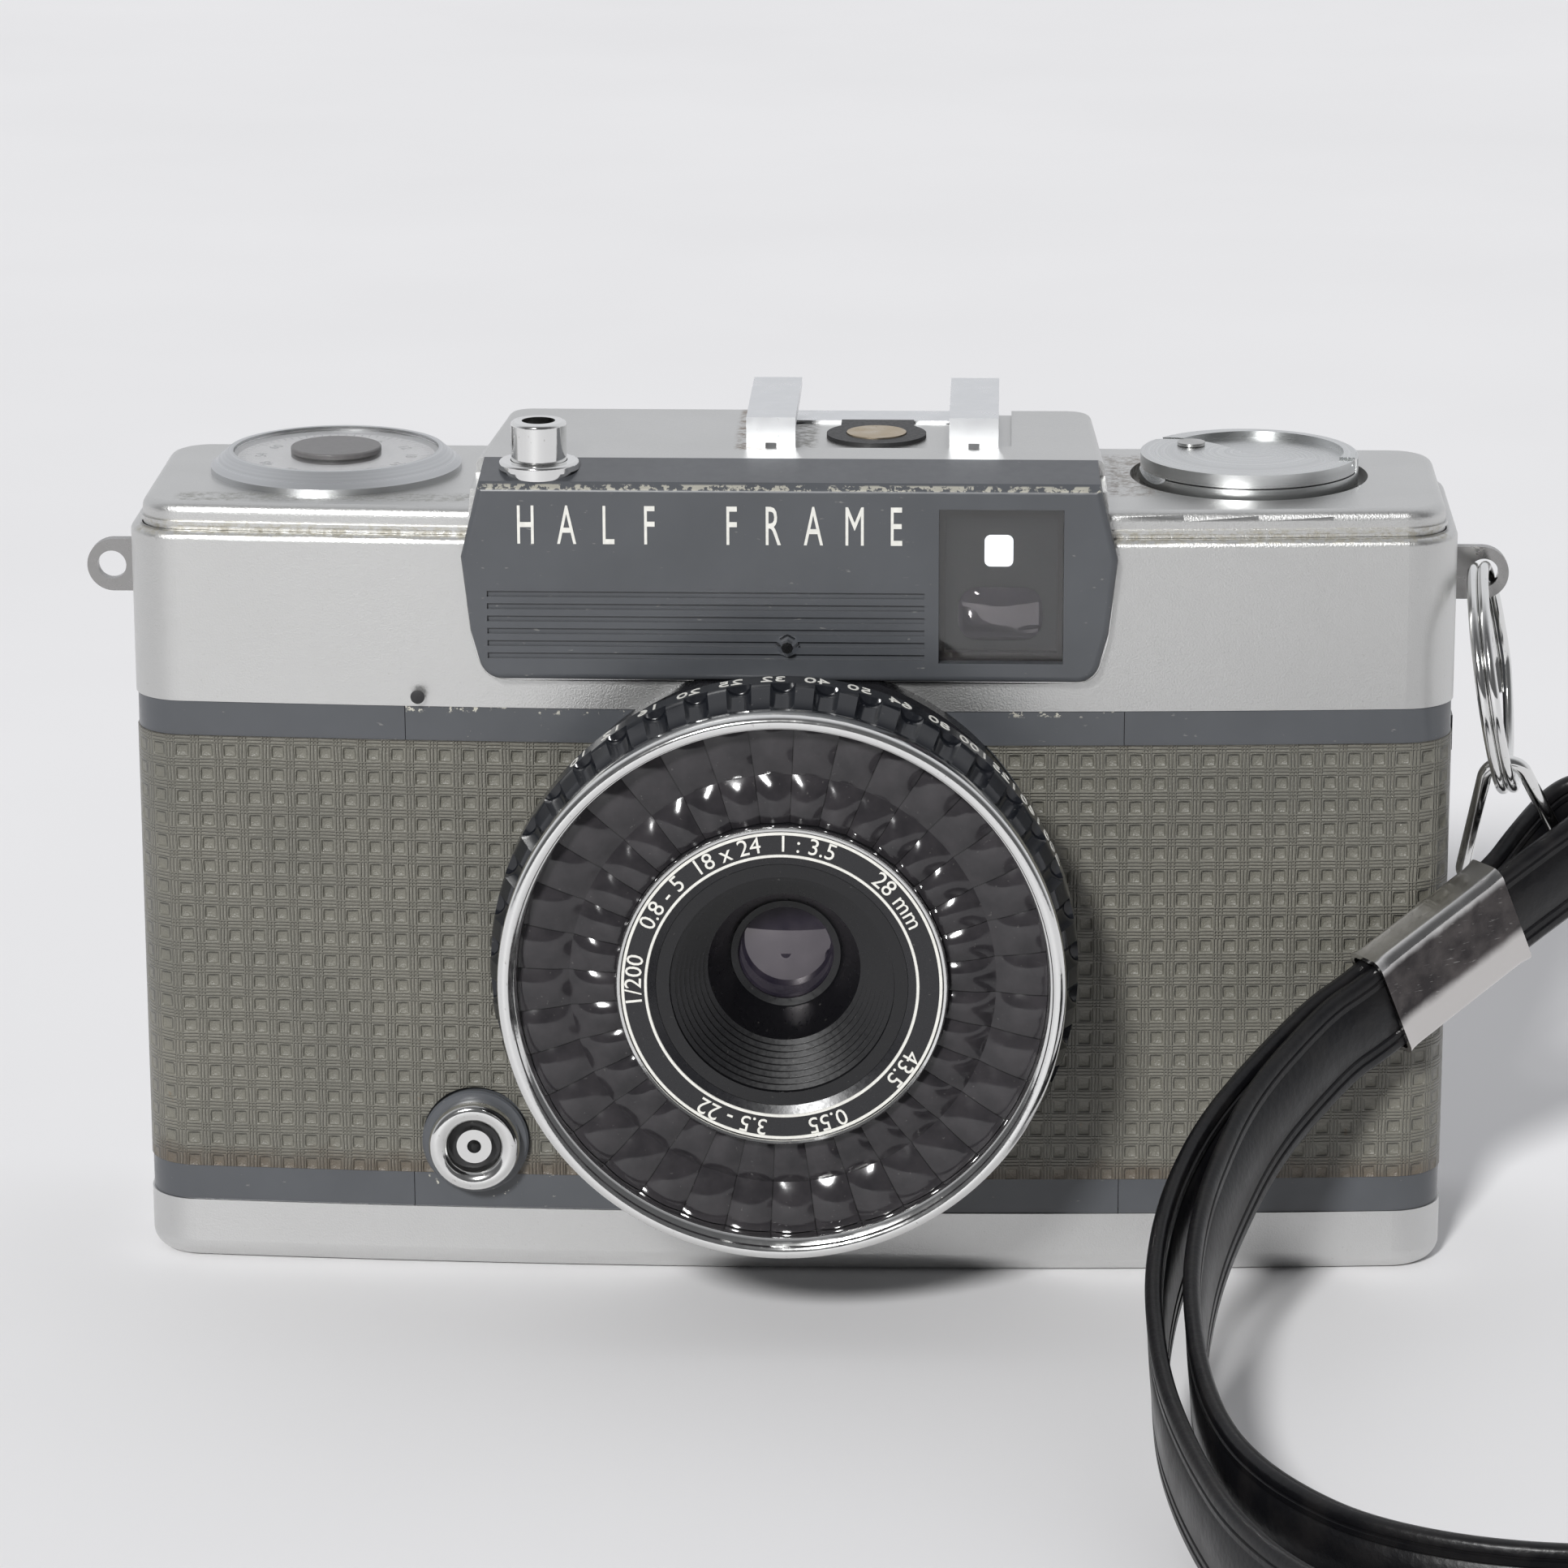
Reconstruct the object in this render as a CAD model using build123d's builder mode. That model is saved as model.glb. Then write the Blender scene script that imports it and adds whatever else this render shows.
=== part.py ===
from build123d import *

import math
import os

# Half frame 35 mm camera. Millimetres, +X to the viewer's right, +Y from front to back, +Z up.
# The origin is the mouth of the tripod socket, in the middle of the base.

# ---------------------------------------------------------------- driving dimensions
HALF_W = 54.0            # half the width of the covers
FRONT_Y = -13.4          # foremost line of the covers
BACK_Y = 13.4            # back of the covers
BOW = 2.2                # how far the bowed front falls back at its ends
CORNER_R = 4.5           # corners of the body in plan
COVER_WALL = 0.9
CASTING_GAP = 1.05       # from the covers' faces to the casting
PANEL_INSET = 0.15       # enamelled panels stand this far behind the covers
PANEL_WALL = 0.75
LEATHER_T = 0.45
LEATHER_PROUD = 0.1      # leatherette stands this far in front of the panels

BASE_TOP_Z = 5.3         # bottom cover to panels
LEATHER_LOW_Z = 8.3
LEATHER_HIGH_Z = 45.5
COVER_LOW_Z = 48.4       # panels to top cover
STEP_Z = 62.5            # ledge of the shoulder moulding
TOP_Z = 64.7             # low top of the cover
HOUSING_Z = 68.5         # raised housing
STEP_IN = 1.0
PLATE_LEFT_X = -31.35
PLATE_RIGHT_X = 27.1

LENS_Z = 30.8
COUNTER_X = -38.2
COUNTER_Y = 2.7
REWIND_X = 37.4
REWIND_Y = 2.4
REWIND_R = 9.0

BUTTON_X = -20.2
BUTTON_Y = -11.5
BUTTON_R = 2.25
BUTTON_TOP_Z = 71.9
BUTTON_TRAVEL = 2.4

HOOD_FRONT_Y = -14.8
WINDOW_X0, WINDOW_X1 = 12.05, 22.05
WINDOW_Z0, WINDOW_Z1 = 52.8, 65.5

SHOE_X = 6.5
SHOE_INNER_W = 18.6      # standard accessory shoe
SHOE_LIP_GAP = 12.5
SHOE_WALL = 0.95
SHOE_FRONT_Y, SHOE_BACK_Y = -5.7, 10.3
SHOE_FLOOR_Z = 68.0
SHOE_LIP_Z = 70.1
SHOE_TOP_Z = 71.0

HINGE_X, HINGE_Y = -53.4, 4.6
HINGE_R = 1.35
DOOR_WALL = 0.9
DOOR_BACK_Y = 14.4
DOOR_START_Y = 6.4       # where the door's ends begin
FILM_Y = 8.5

LUG_X = 56.75
LUG_Z = 57.1
LUG_HOLE_R = 1.2
LUG_T = 1.0

SYNC_X, SYNC_Z = -26.1, 11.4

STRAP_W = 8.0
STRAP_T = 1.3
# The strap's upper part lies in a leaning plane, z = LEAN_Z + LEAN_X * x + LEAN_Y * y.
LEAN_X, LEAN_Y, LEAN_Z = 0.375, 0.31, 12.4
FLOOR_BAND_Z = 4.05      # middle of the strap where it stands on its edge

os.makedirs("parts", exist_ok=True)


def save(piece, label):
    """Names a finished piece and writes its STEP file."""
    piece.part.label = label
    export_step(piece.part, "parts/" + label + ".step")


# ---------------------------------------------------------------- shared profiles
def body_plan(inset, back=BACK_Y, radius=CORNER_R):
    """The body's outline in plan, in by a given distance: bowed front, flat back, round corners."""
    half = HALF_W - inset
    front = FRONT_Y + inset
    rear = back - inset
    with BuildLine() as outline:
        ThreePointArc((-half, front + BOW), (0, front), (half, front + BOW))
        Line((half, front + BOW), (half, rear))
        Line((half, rear), (-half, rear))
        Line((-half, rear), (-half, front + BOW))
    face = make_face(outline.edges())
    fillet(face.vertices(), radius=max(radius - inset, 0.6))


def block(x0, x1, y0, y1, z0, z1, mode=Mode.SUBTRACT):
    """A box given by its limits."""
    with Locations(((x0 + x1) / 2, (y0 + y1) / 2, (z0 + z1) / 2)):
        Box(x1 - x0, y1 - y0, z1 - z0, mode=mode)


def drum(x, y, radius, z0, z1, mode=Mode.SUBTRACT):
    """An upright cylinder."""
    with Locations((x, y, (z0 + z1) / 2)):
        Cylinder(radius, z1 - z0, mode=mode)


def lens_plane(y, x=0.0, z=LENS_Z):
    """A plane across the lens axis at depth y, facing the front."""
    return Plane(origin=(x, y, z), x_dir=(1, 0, 0), z_dir=(0, -1, 0))


def lens_ring(y_back, y_front, outer, inner=0.0, mode=Mode.ADD, x=0.0, z=LENS_Z):
    """A ring about an axis that runs front to back."""
    with BuildSketch(lens_plane(y_back, x, z)) as ring:
        Circle(outer)
        if inner:
            Circle(inner, mode=Mode.SUBTRACT)
    extrude(ring.sketch, amount=y_back - y_front, mode=mode)


def lens_profile(*points, x=0.0, z=LENS_Z):
    """Turns a closed profile of (radius, y) points about the lens axis."""
    with BuildSketch(Plane(origin=(x, 0, z), x_dir=(1, 0, 0), z_dir=(0, 0, 1))) as half:
        with BuildLine():
            Polyline(*points, close=True)
        make_face()
    revolve(half.sketch, axis=Axis((x, 0, z), (0, 1, 0)))


# ---------------------------------------------------------------- body casting
CHAMBER_FRONT_Y = -10.7
with BuildPart() as body_casting:
    with BuildSketch(Plane.XY.offset(1.0)):
        body_plan(CASTING_GAP)
    extrude(amount=60.8)
    # take-up chamber, cartridge chamber, and the film's way between them
    block(-50.6, -14.5, CHAMBER_FRONT_Y + 0.6, 14.0, 6.0, 49.0)
    block(26.0, 50.6, CHAMBER_FRONT_Y, 14.0, 6.0, 49.0)
    block(-50.6, 50.6, FILM_Y, 14.0, 6.0, 52.0)
    # lens well and light tunnel with the half frame gate, 18 wide by 24 tall
    lens_ring(-14.0 + 9.0, -14.0, 16.1, mode=Mode.SUBTRACT)
    lens_ring(-2.0, -14.0, 11.0, mode=Mode.SUBTRACT)
    with BuildSketch(lens_plane(FILM_Y + 0.1)):
        Rectangle(18, 24)
    extrude(amount=14, mode=Mode.SUBTRACT)
    # well for the counter work, the meter and the release, open at the top
    block(-50.6, 50.6, -9.6, 10.2, 53.4, 62.5)
    block(WINDOW_X0 - 0.9, WINDOW_X1 + 0.9, -13.0, 13.5, 50.4, 62.5)
    drum(COUNTER_X, COUNTER_Y, 12.9, 49.6, 55.2)
    drum(BUTTON_X, BUTTON_Y, 2.6, 57.0, 62.5)
    drum(COUNTER_X, COUNTER_Y, 2.6, 48.0, 50.0)
    # rooms for the hinge, the tripod socket, the rewind release and the fork
    block(HINGE_X - 2.0, HINGE_X + 2.0, HINGE_Y - 1.9, 14.0, 1.0, 62.5)
    block(50.4, HALF_W, HINGE_Y - 1.9, 14.0, 6.0, 48.0)
    drum(0, 0, 4.5, 0.5, 7.0)
    drum(-24.0, 2.5, 3.0, 0.5, 6.5)
    drum(REWIND_X, REWIND_Y, 1.99, 48.0, 55.2)
save(body_casting, "body_casting")

# ---------------------------------------------------------------- top cover
HOOD_OUTLINE = (
    (-24.9, 67.5),
    (-26.4, 61.3),
    (-25.7, 55.2),
    (-24.6, 51.2),
    (24.6, 51.2),
    (25.7, 55.2),
    (26.4, 61.3),
    (24.9, 67.5),
)


# raised housing, a little narrower at its back
with BuildPart() as housing:
    with BuildSketch(Plane.XY.offset(60.0)):
        with BuildLine():
            Polyline((-26.2, -13.0), (26.0, -13.0), (24.9, 10.0), (-24.6, 10.0), close=True)
        make_face()
    extrude(amount=HOUSING_Z - 60.0, taper=4)
    fillet(housing.edges().filter_by(Axis.Z, tolerance=8).group_by(Axis.Y)[-1], radius=2.0)
    fillet(housing.faces().sort_by(Axis.Z)[-1].edges().sort_by(Axis.Y)[1:], radius=0.6)

with BuildPart() as top_cover:
    with BuildSketch(Plane.XY.offset(COVER_LOW_Z)):
        body_plan(0)
    extrude(amount=STEP_Z - COVER_LOW_Z)
    fillet(top_cover.faces().sort_by(Axis.Z)[-1].edges(), radius=0.6)
    with BuildSketch(Plane.XY.offset(STEP_Z - 0.7)):
        body_plan(STEP_IN)
    extrude(amount=TOP_Z - STEP_Z + 0.7)
    fillet(top_cover.faces().sort_by(Axis.Z)[-1].edges(), radius=0.85)
    with BuildSketch(Plane.XY.offset(STEP_Z + 0.4)):
        body_plan(STEP_IN - 0.2)
    extrude(amount=0.3)
    add(housing.part)
    # the front of the housing is cut back for the hood's lip
    with BuildSketch(Plane.YZ.offset(-30)):
        with BuildLine():
            Polyline((-14.5, 66.3), (-13.25, 66.3), (-9.8, 67.2), (-9.8, 69.0), (-14.5, 69.0), close=True)
        make_face()
    extrude(amount=60, mode=Mode.SUBTRACT)
    # hollow inside, under the low top and under the housing
    with BuildSketch(Plane.XY.offset(COVER_LOW_Z - 0.1)):
        body_plan(COVER_WALL)
    extrude(amount=62.6 - COVER_LOW_Z, mode=Mode.SUBTRACT)
    with BuildSketch(Plane.XY.offset(62.0)):
        body_plan(STEP_IN + COVER_WALL)
    extrude(amount=63.7 - 62.0, mode=Mode.SUBTRACT)
    block(-23.4, 23.4, -8.9, 8.4, 62.5, 67.2)
    block(-24.4, 24.4, -12.4, -8.9, 62.5, 65.4)
    # floor of the accessory shoe and its relief on the right
    block(SHOE_X - SHOE_INNER_W / 2 - SHOE_WALL, SHOE_X + SHOE_INNER_W / 2 + SHOE_WALL, SHOE_FRONT_Y, 11.0,
          SHOE_FLOOR_Z, 69.0)
    block(SHOE_X, SHOE_X + SHOE_INNER_W / 2 + 2.0, SHOE_FRONT_Y + 0.8, 11.0, SHOE_FLOOR_Z, 69.0)
    # finder: front opening and eyepiece opening
    block(WINDOW_X0 - 0.3, WINDOW_X1 + 0.3, -16.0, -8.0, WINDOW_Z0 - 0.3, WINDOW_Z1 + 0.2)
    block(WINDOW_X0 - 0.3, WINDOW_X1 + 0.3, -16.0, 12.0, WINDOW_Z0 - 0.3, WINDOW_Z1 - 0.1)
    with BuildSketch(Plane.XZ.offset(-14.0)):
        with Locations((17.05, 57.5)):
            RectangleRounded(9.2, 6.8, 1.0)
    extrude(amount=3.0, mode=Mode.SUBTRACT)
    # bore of the button, shaft of the counter, recess and bore of the rewind knob
    block(BUTTON_X - 2.5, BUTTON_X + 2.5, -14.5, -9.0, 59.0, 65.8)
    drum(BUTTON_X, BUTTON_Y, BUTTON_R + 0.06, 65.0, 70.0)
    drum(COUNTER_X, COUNTER_Y, 1.3, 62.0, 66.0)
    drum(REWIND_X, REWIND_Y - 0.1, REWIND_R + 0.8, TOP_Z - 0.01, 66.0)
    drum(REWIND_X, REWIND_Y - 0.1, REWIND_R + 1.7, 62.4, TOP_Z - 0.6, mode=Mode.ADD)
    drum(REWIND_X, REWIND_Y - 0.1, REWIND_R + 0.8, 63.3, 66.0)
    drum(REWIND_X, REWIND_Y, 2.36, 62.0, 66.0)
    # slots for the strap lugs, the advance wheel and the hinge
    for side in (-1, 1):
        block(min(side * 52, side * 55), max(side * 52, side * 55), -LUG_T / 2 - 0.05, LUG_T / 2 + 0.05,
              LUG_Z - 2.3, LUG_Z + 2.3)
    block(COUNTER_X - 11.5, COUNTER_X + 11.5, 12.0, 14.0, 49.7, 55.1)
    block(-55.0, HINGE_X + 1.75, HINGE_Y - 1.6, HINGE_Y + 1.6, COVER_LOW_Z - 0.2, 54.6)
    # screw holes in the shoe floor and the counter's seat
    for x in (SHOE_X - 6.6, SHOE_X + 6.6):
        drum(x, 6.6, 1.02, 66.0, 69.0)
save(top_cover, "top_cover")

# ---------------------------------------------------------------- bottom cover
SCREW_SPOTS = ((-46.0, 0.0), (46.0, 0.0))
with BuildPart() as bottom_cover:
    with BuildSketch():
        body_plan(0)
    extrude(amount=BASE_TOP_Z)
    fillet(bottom_cover.faces().sort_by(Axis.Z)[0].edges(), radius=1.7)
    with BuildSketch(Plane.XY.offset(0.95)):
        body_plan(COVER_WALL)
    extrude(amount=BASE_TOP_Z, mode=Mode.SUBTRACT)
    drum(0, 0, 3.9, -0.1, 2.0)
    drum(-24.0, 2.5, 2.45, -0.1, 2.0)
    for x, y in SCREW_SPOTS:
        drum(x, y, 1.9, -0.1, 0.6)
        drum(x, y, 1.05, 0.5, 2.0)
save(bottom_cover, "bottom_cover")

with BuildPart() as cover_screws:
    for x, y in SCREW_SPOTS:
        drum(x, y, 1.85, 0.1, 0.6, mode=Mode.ADD)
        drum(x, y, 1.0, 0.6, 1.0, mode=Mode.ADD)
        block(x - 1.5, x + 1.5, y - 0.2, y + 0.2, 0.0, 0.35)
save(cover_screws, "cover_screws")

with BuildPart() as tripod_socket:
    drum(0, 0, 3.85, 0.0, 1.0, mode=Mode.ADD)
    drum(0, 0, 4.45, 1.0, 6.9, mode=Mode.ADD)
    drum(0, 0, 2.6, -0.1, 5.6)
save(tripod_socket, "tripod_socket")

with BuildPart() as rewind_release:
    drum(-24.0, 2.5, 2.4, 0.25, 3.2, mode=Mode.ADD)
    drum(-24.0, 2.5, 2.9, 3.2, 4.4, mode=Mode.ADD)
    drum(-24.0, 2.5, 1.2, 0.0, 0.7)
save(rewind_release, "rewind_release")


# ---------------------------------------------------------------- enamelled panels and leatherette
def shell_band(outer_inset, inner_inset, z0, z1):
    """An upright band that follows the body's outline."""
    with BuildSketch(Plane.XY.offset(z0)) as outside:
        body_plan(outer_inset)
    extrude(outside.sketch, amount=z1 - z0)
    with BuildSketch(Plane.XY.offset(z0 - 0.1)) as inside:
        body_plan(inner_inset)
    extrude(inside.sketch, amount=z1 - z0 + 0.2, mode=Mode.SUBTRACT)


PANEL_BACK = PANEL_INSET + PANEL_WALL
LEATHER_IN = PANEL_INSET - LEATHER_PROUD
PANEL_END_Y = 2.8


def trim_to(x0, x1):
    """Keeps the stretch of a band between two x limits, in front of the door."""
    block(-90, x0, -30, 30, 0, 60)
    block(x1, 90, -30, 30, 0, 60)
    block(-90, 90, PANEL_END_Y, 30, 0, 60)


def panel(x0, x1):
    """A stretch of the enamelled band, with the sunken bed for the leatherette."""
    shell_band(PANEL_INSET, PANEL_BACK, BASE_TOP_Z + 0.02, LEATHER_LOW_Z)
    shell_band(LEATHER_IN + LEATHER_T, PANEL_BACK, LEATHER_LOW_Z, LEATHER_HIGH_Z)
    shell_band(PANEL_INSET, PANEL_BACK, LEATHER_HIGH_Z, COVER_LOW_Z - 0.02)
    trim_to(x0, x1)


with BuildPart() as front_plate:
    panel(PLATE_LEFT_X + 0.03, PLATE_RIGHT_X - 0.03)
    lens_ring(-5.0, -20.0, 16.1, mode=Mode.SUBTRACT)
    lens_ring(-5.0, -20.0, 3.3, x=SYNC_X, z=SYNC_Z, mode=Mode.SUBTRACT)
save(front_plate, "front_plate")

with BuildPart() as side_panel_left:
    panel(-80.0, PLATE_LEFT_X - 0.03)
save(side_panel_left, "side_panel_left")

with BuildPart() as side_panel_right:
    panel(PLATE_RIGHT_X + 0.03, 80.0)
save(side_panel_right, "side_panel_right")


def leatherette(x0, x1):
    """One piece of the leatherette skin between two x limits."""
    shell_band(LEATHER_IN, LEATHER_IN + LEATHER_T, LEATHER_LOW_Z + 0.02, LEATHER_HIGH_Z - 0.02)
    trim_to(x0, x1)
    lens_ring(-5.0, -20.0, 21.7, mode=Mode.SUBTRACT)
    lens_ring(-5.0, -20.0, 4.45, x=SYNC_X, z=SYNC_Z, mode=Mode.SUBTRACT)


with BuildPart() as leatherette_left:
    leatherette(-80.0, -0.02)
save(leatherette_left, "leatherette_left")

with BuildPart() as leatherette_right:
    leatherette(0.02, 80.0)
save(leatherette_right, "leatherette_right")

# ---------------------------------------------------------------- finder hood, windows, index stud
with BuildPart() as finder_hood:
    with BuildSketch(Plane.YZ.offset(-27)):
        with BuildLine():
            Polyline(
                (HOOD_FRONT_Y, 51.2),
                (HOOD_FRONT_Y, 66.9),
                (HOOD_FRONT_Y + 0.6, 67.5),
                (-9.8, HOUSING_Z),
                (-9.8, 67.22),
                (-13.25, 66.32),
                (FRONT_Y - 0.02, 66.32),
                (FRONT_Y - 0.02, 51.2),
                close=True,
            )
        make_face()
    extrude(amount=54)
    with BuildSketch(Plane.XZ.offset(5)):
        with BuildLine():
            Polyline(*HOOD_OUTLINE, (24.6, 69.5), (-24.6, 69.5), close=True)
        outline = make_face()
        corners = outline.vertices()
        fillet([v for v in corners if v.Y < 51.3], radius=1.9)
        fillet([v for v in outline.vertices() if 60 < v.Y < 62], radius=4.0)
    extrude(amount=12, mode=Mode.INTERSECT)
    fillet(finder_hood.faces().sort_by(Axis.Y)[0].edges(), radius=0.55)
    # window opening and the six grooves
    block(WINDOW_X0, WINDOW_X1, -16.0, -12.0, WINDOW_Z0, WINDOW_Z1)
    for row in range(6):
        z = 58.35 - row * 1.02
        block(-24.3, 10.9, HOOD_FRONT_Y - 0.1, HOOD_FRONT_Y + 0.3, z - 0.24, z + 0.24)
    drum(BUTTON_X, BUTTON_Y, BUTTON_R + 0.06, 60.0, 70.0)
    lens_ring(-14.0, -15.0, 0.62, x=-0.1, z=54.2, mode=Mode.SUBTRACT)
save(finder_hood, "finder_hood")

with BuildPart() as index_stud:
    lens_ring(-14.0, HOOD_FRONT_Y - 0.02, 0.6, x=-0.1, z=54.2)
    with BuildSketch(lens_plane(HOOD_FRONT_Y, -0.1, 54.2)):
        RegularPolygon(0.95, 8)
    extrude(amount=0.8, taper=28)
save(index_stud, "index_stud")

with BuildPart() as finder_glass:
    block(WINDOW_X0 + 0.02, WINDOW_X1 - 0.02, -13.9, -13.2, WINDOW_Z0 + 0.02, WINDOW_Z1 - 0.02, mode=Mode.ADD)
save(finder_glass, "finder_glass")

with BuildPart() as finder_tube:
    block(WINDOW_X0 - 0.2, WINDOW_X1 + 0.2, -12.9, 11.8, WINDOW_Z0 - 0.2, WINDOW_Z1 - 0.3, mode=Mode.ADD)
    block(WINDOW_X0 + 0.5, WINDOW_X1 - 0.5, -13.5, 12.5, WINDOW_Z0 + 0.5, WINDOW_Z1 - 1.0)
save(finder_tube, "finder_tube")

with BuildPart() as finder_eyepiece:
    with BuildSketch(Plane.XZ.offset(-13.7)):
        with Locations((17.05, 57.5)):
            RectangleRounded(9.1, 6.7, 0.95)
    extrude(amount=1.6)
save(finder_eyepiece, "finder_eyepiece")

# ---------------------------------------------------------------- accessory shoe
with BuildPart() as shoe_rails:
    for side in (-1, 1):
        wall_in = SHOE_X + side * SHOE_INNER_W / 2
        wall_out = wall_in + side * SHOE_WALL
        lip_in = SHOE_X + side * SHOE_LIP_GAP / 2
        block(min(wall_in, wall_out), max(wall_in, wall_out), SHOE_FRONT_Y, SHOE_BACK_Y,
              SHOE_FLOOR_Z, SHOE_TOP_Z, mode=Mode.ADD)
        block(min(lip_in, wall_out), max(lip_in, wall_out), SHOE_FRONT_Y, SHOE_BACK_Y,
              SHOE_LIP_Z, SHOE_TOP_Z, mode=Mode.ADD)
        block(min(lip_in, wall_out), max(lip_in, wall_out), SHOE_FRONT_Y, SHOE_FRONT_Y + 0.7,
              SHOE_FLOOR_Z, SHOE_TOP_Z, mode=Mode.ADD)
        slot_x = (lip_in + wall_out) / 2
        block(slot_x - 0.45, slot_x + 0.45, SHOE_FRONT_Y - 0.1, SHOE_FRONT_Y + 0.8, SHOE_FLOOR_Z - 0.1,
              SHOE_FLOOR_Z + 0.9)
    # the floor strip that joins the rails behind the contact
    block(SHOE_X - SHOE_INNER_W / 2, SHOE_X + SHOE_INNER_W / 2, 6.0, SHOE_BACK_Y - 0.4,
          SHOE_FLOOR_Z, SHOE_FLOOR_Z + 0.25, mode=Mode.ADD)
save(shoe_rails, "shoe_rails")

with BuildPart() as shoe_insulator:
    drum(6.7, 0.8, 4.1, SHOE_FLOOR_Z, SHOE_FLOOR_Z + 0.35, mode=Mode.ADD)
    block(3.7, 9.7, 2.5, 5.9, SHOE_FLOOR_Z, SHOE_FLOOR_Z + 0.35, mode=Mode.ADD)
    drum(6.7, 0.8, 2.5, SHOE_FLOOR_Z - 0.1, SHOE_FLOOR_Z + 0.5)
save(shoe_insulator, "shoe_insulator")

with BuildPart() as shoe_contact:
    drum(6.7, 0.8, 2.45, SHOE_FLOOR_Z, SHOE_FLOOR_Z + 0.45, mode=Mode.ADD)
save(shoe_contact, "shoe_contact")

# ---------------------------------------------------------------- frame counter
with BuildPart() as counter_bezel:
    drum(COUNTER_X, COUNTER_Y, 10.4, TOP_Z, 65.2, mode=Mode.ADD)
    with BuildSketch(Plane.XY.offset(65.2)):
        with Locations((COUNTER_X, COUNTER_Y)):
            Circle(10.4)
    extrude(amount=1.2, taper=50)
    drum(COUNTER_X, COUNTER_Y, 8.5, TOP_Z - 0.1, 67.0)
save(counter_bezel, "counter_bezel")

with BuildPart() as counter_crystal:
    drum(COUNTER_X, COUNTER_Y, 8.48, 65.75, 66.2, mode=Mode.ADD)
save(counter_crystal, "counter_crystal")

with BuildPart() as counter_hub:
    drum(COUNTER_X, COUNTER_Y, 3.75, 66.2, 66.65, mode=Mode.ADD)
    fillet(counter_hub.faces().sort_by(Axis.Z)[-1].edges(), radius=0.15)
save(counter_hub, "counter_hub")

with BuildPart() as counter_dial:
    drum(COUNTER_X, COUNTER_Y, 8.2, TOP_Z + 0.15, 65.4, mode=Mode.ADD)
    drum(COUNTER_X, COUNTER_Y, 1.2, 58.0, TOP_Z + 0.2, mode=Mode.ADD)
save(counter_dial, "counter_dial")

# ---------------------------------------------------------------- shutter button
with BuildPart() as button_collar:
    drum(BUTTON_X, BUTTON_Y, 3.25, 68.05, 68.7, mode=Mode.ADD)
    fillet(button_collar.faces().sort_by(Axis.Z)[-1].edges(), radius=0.25)
    # the foot follows the slope of the hood
    with BuildSketch(Plane.XY.offset(67.3)):
        with Locations((BUTTON_X, BUTTON_Y)):
            Circle(2.9)
    extrude(amount=0.9)
    with BuildSketch(Plane.YZ.offset(-27)):
        with BuildLine():
            Polyline((-16.0, 66.0), (-16.0, 67.15), (HOOD_FRONT_Y + 0.6, 67.52), (-9.8, HOUSING_Z + 0.02),
                     (-7.0, HOUSING_Z + 0.02), (-7.0, 66.0), close=True)
        make_face()
    extrude(amount=54, mode=Mode.SUBTRACT)
    drum(BUTTON_X, BUTTON_Y, BUTTON_R + 0.06, 60.0, 70.0)
save(button_collar, "button_collar")

with BuildPart() as shutter_button:
    drum(BUTTON_X, BUTTON_Y, BUTTON_R, 66.0, BUTTON_TOP_Z, mode=Mode.ADD)
    fillet(shutter_button.faces().sort_by(Axis.Z)[-1].edges(), radius=0.3)
    drum(BUTTON_X, BUTTON_Y, 1.0, 61.4, 66.0, mode=Mode.ADD)
    # threaded hole for a cable release
    drum(BUTTON_X, BUTTON_Y, 1.35, BUTTON_TOP_Z - 3.5, BUTTON_TOP_Z + 0.1)
save(shutter_button, "shutter_button")

SPRING_TURNS = 4
with BuildPart() as release_spring:
    with BuildLine():
        Helix(pitch=1.05, height=1.05 * SPRING_TURNS, radius=1.55, center=(BUTTON_X, BUTTON_Y, 61.6))
    with BuildSketch(Plane(origin=(BUTTON_X + 1.55, BUTTON_Y, 61.6), x_dir=(1, 0, 0), z_dir=(0, 1, 0.1))):
        Circle(0.22)
    sweep(is_frenet=True)
save(release_spring, "release_spring")

# ---------------------------------------------------------------- rewind knob, crank, fork
RIVET_X, RIVET_Y = REWIND_X - 4.7, REWIND_Y + 2.5
CRANK_HINGE_X, CRANK_HINGE_Z = REWIND_X - 8.1, 66.0   # the crank flips up about its left end
CRANK_Z0, CRANK_Z1 = 65.45, 66.55


def crank_plan(shrink):
    """The crank's crescent in plan: the knob's rim in front, an S-shaped edge behind."""
    with Locations((REWIND_X, REWIND_Y)):
        Circle(REWIND_R - shrink)
    with BuildLine() as edge:
        Spline(
            (REWIND_X - 9.6, REWIND_Y + 3.9 - shrink),
            (REWIND_X - 6.6, REWIND_Y + 4.9 - shrink),
            (REWIND_X - 3.2, REWIND_Y + 3.7 - shrink),
            (REWIND_X + 0.4, REWIND_Y - 0.9 - shrink),
            (REWIND_X + 4.4, REWIND_Y - 2.1 - shrink),
            (REWIND_X + 9.8, REWIND_Y - 2.6 - shrink),
        )
        Line((REWIND_X + 9.8, REWIND_Y - 2.6 - shrink), (REWIND_X + 9.8, REWIND_Y + 12))
        Line((REWIND_X + 9.8, REWIND_Y + 12), (REWIND_X - 9.6, REWIND_Y + 12))
        Line((REWIND_X - 9.6, REWIND_Y + 12), (REWIND_X - 9.6, REWIND_Y + 3.9 - shrink))
    make_face(edge.edges(), mode=Mode.SUBTRACT)


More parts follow.
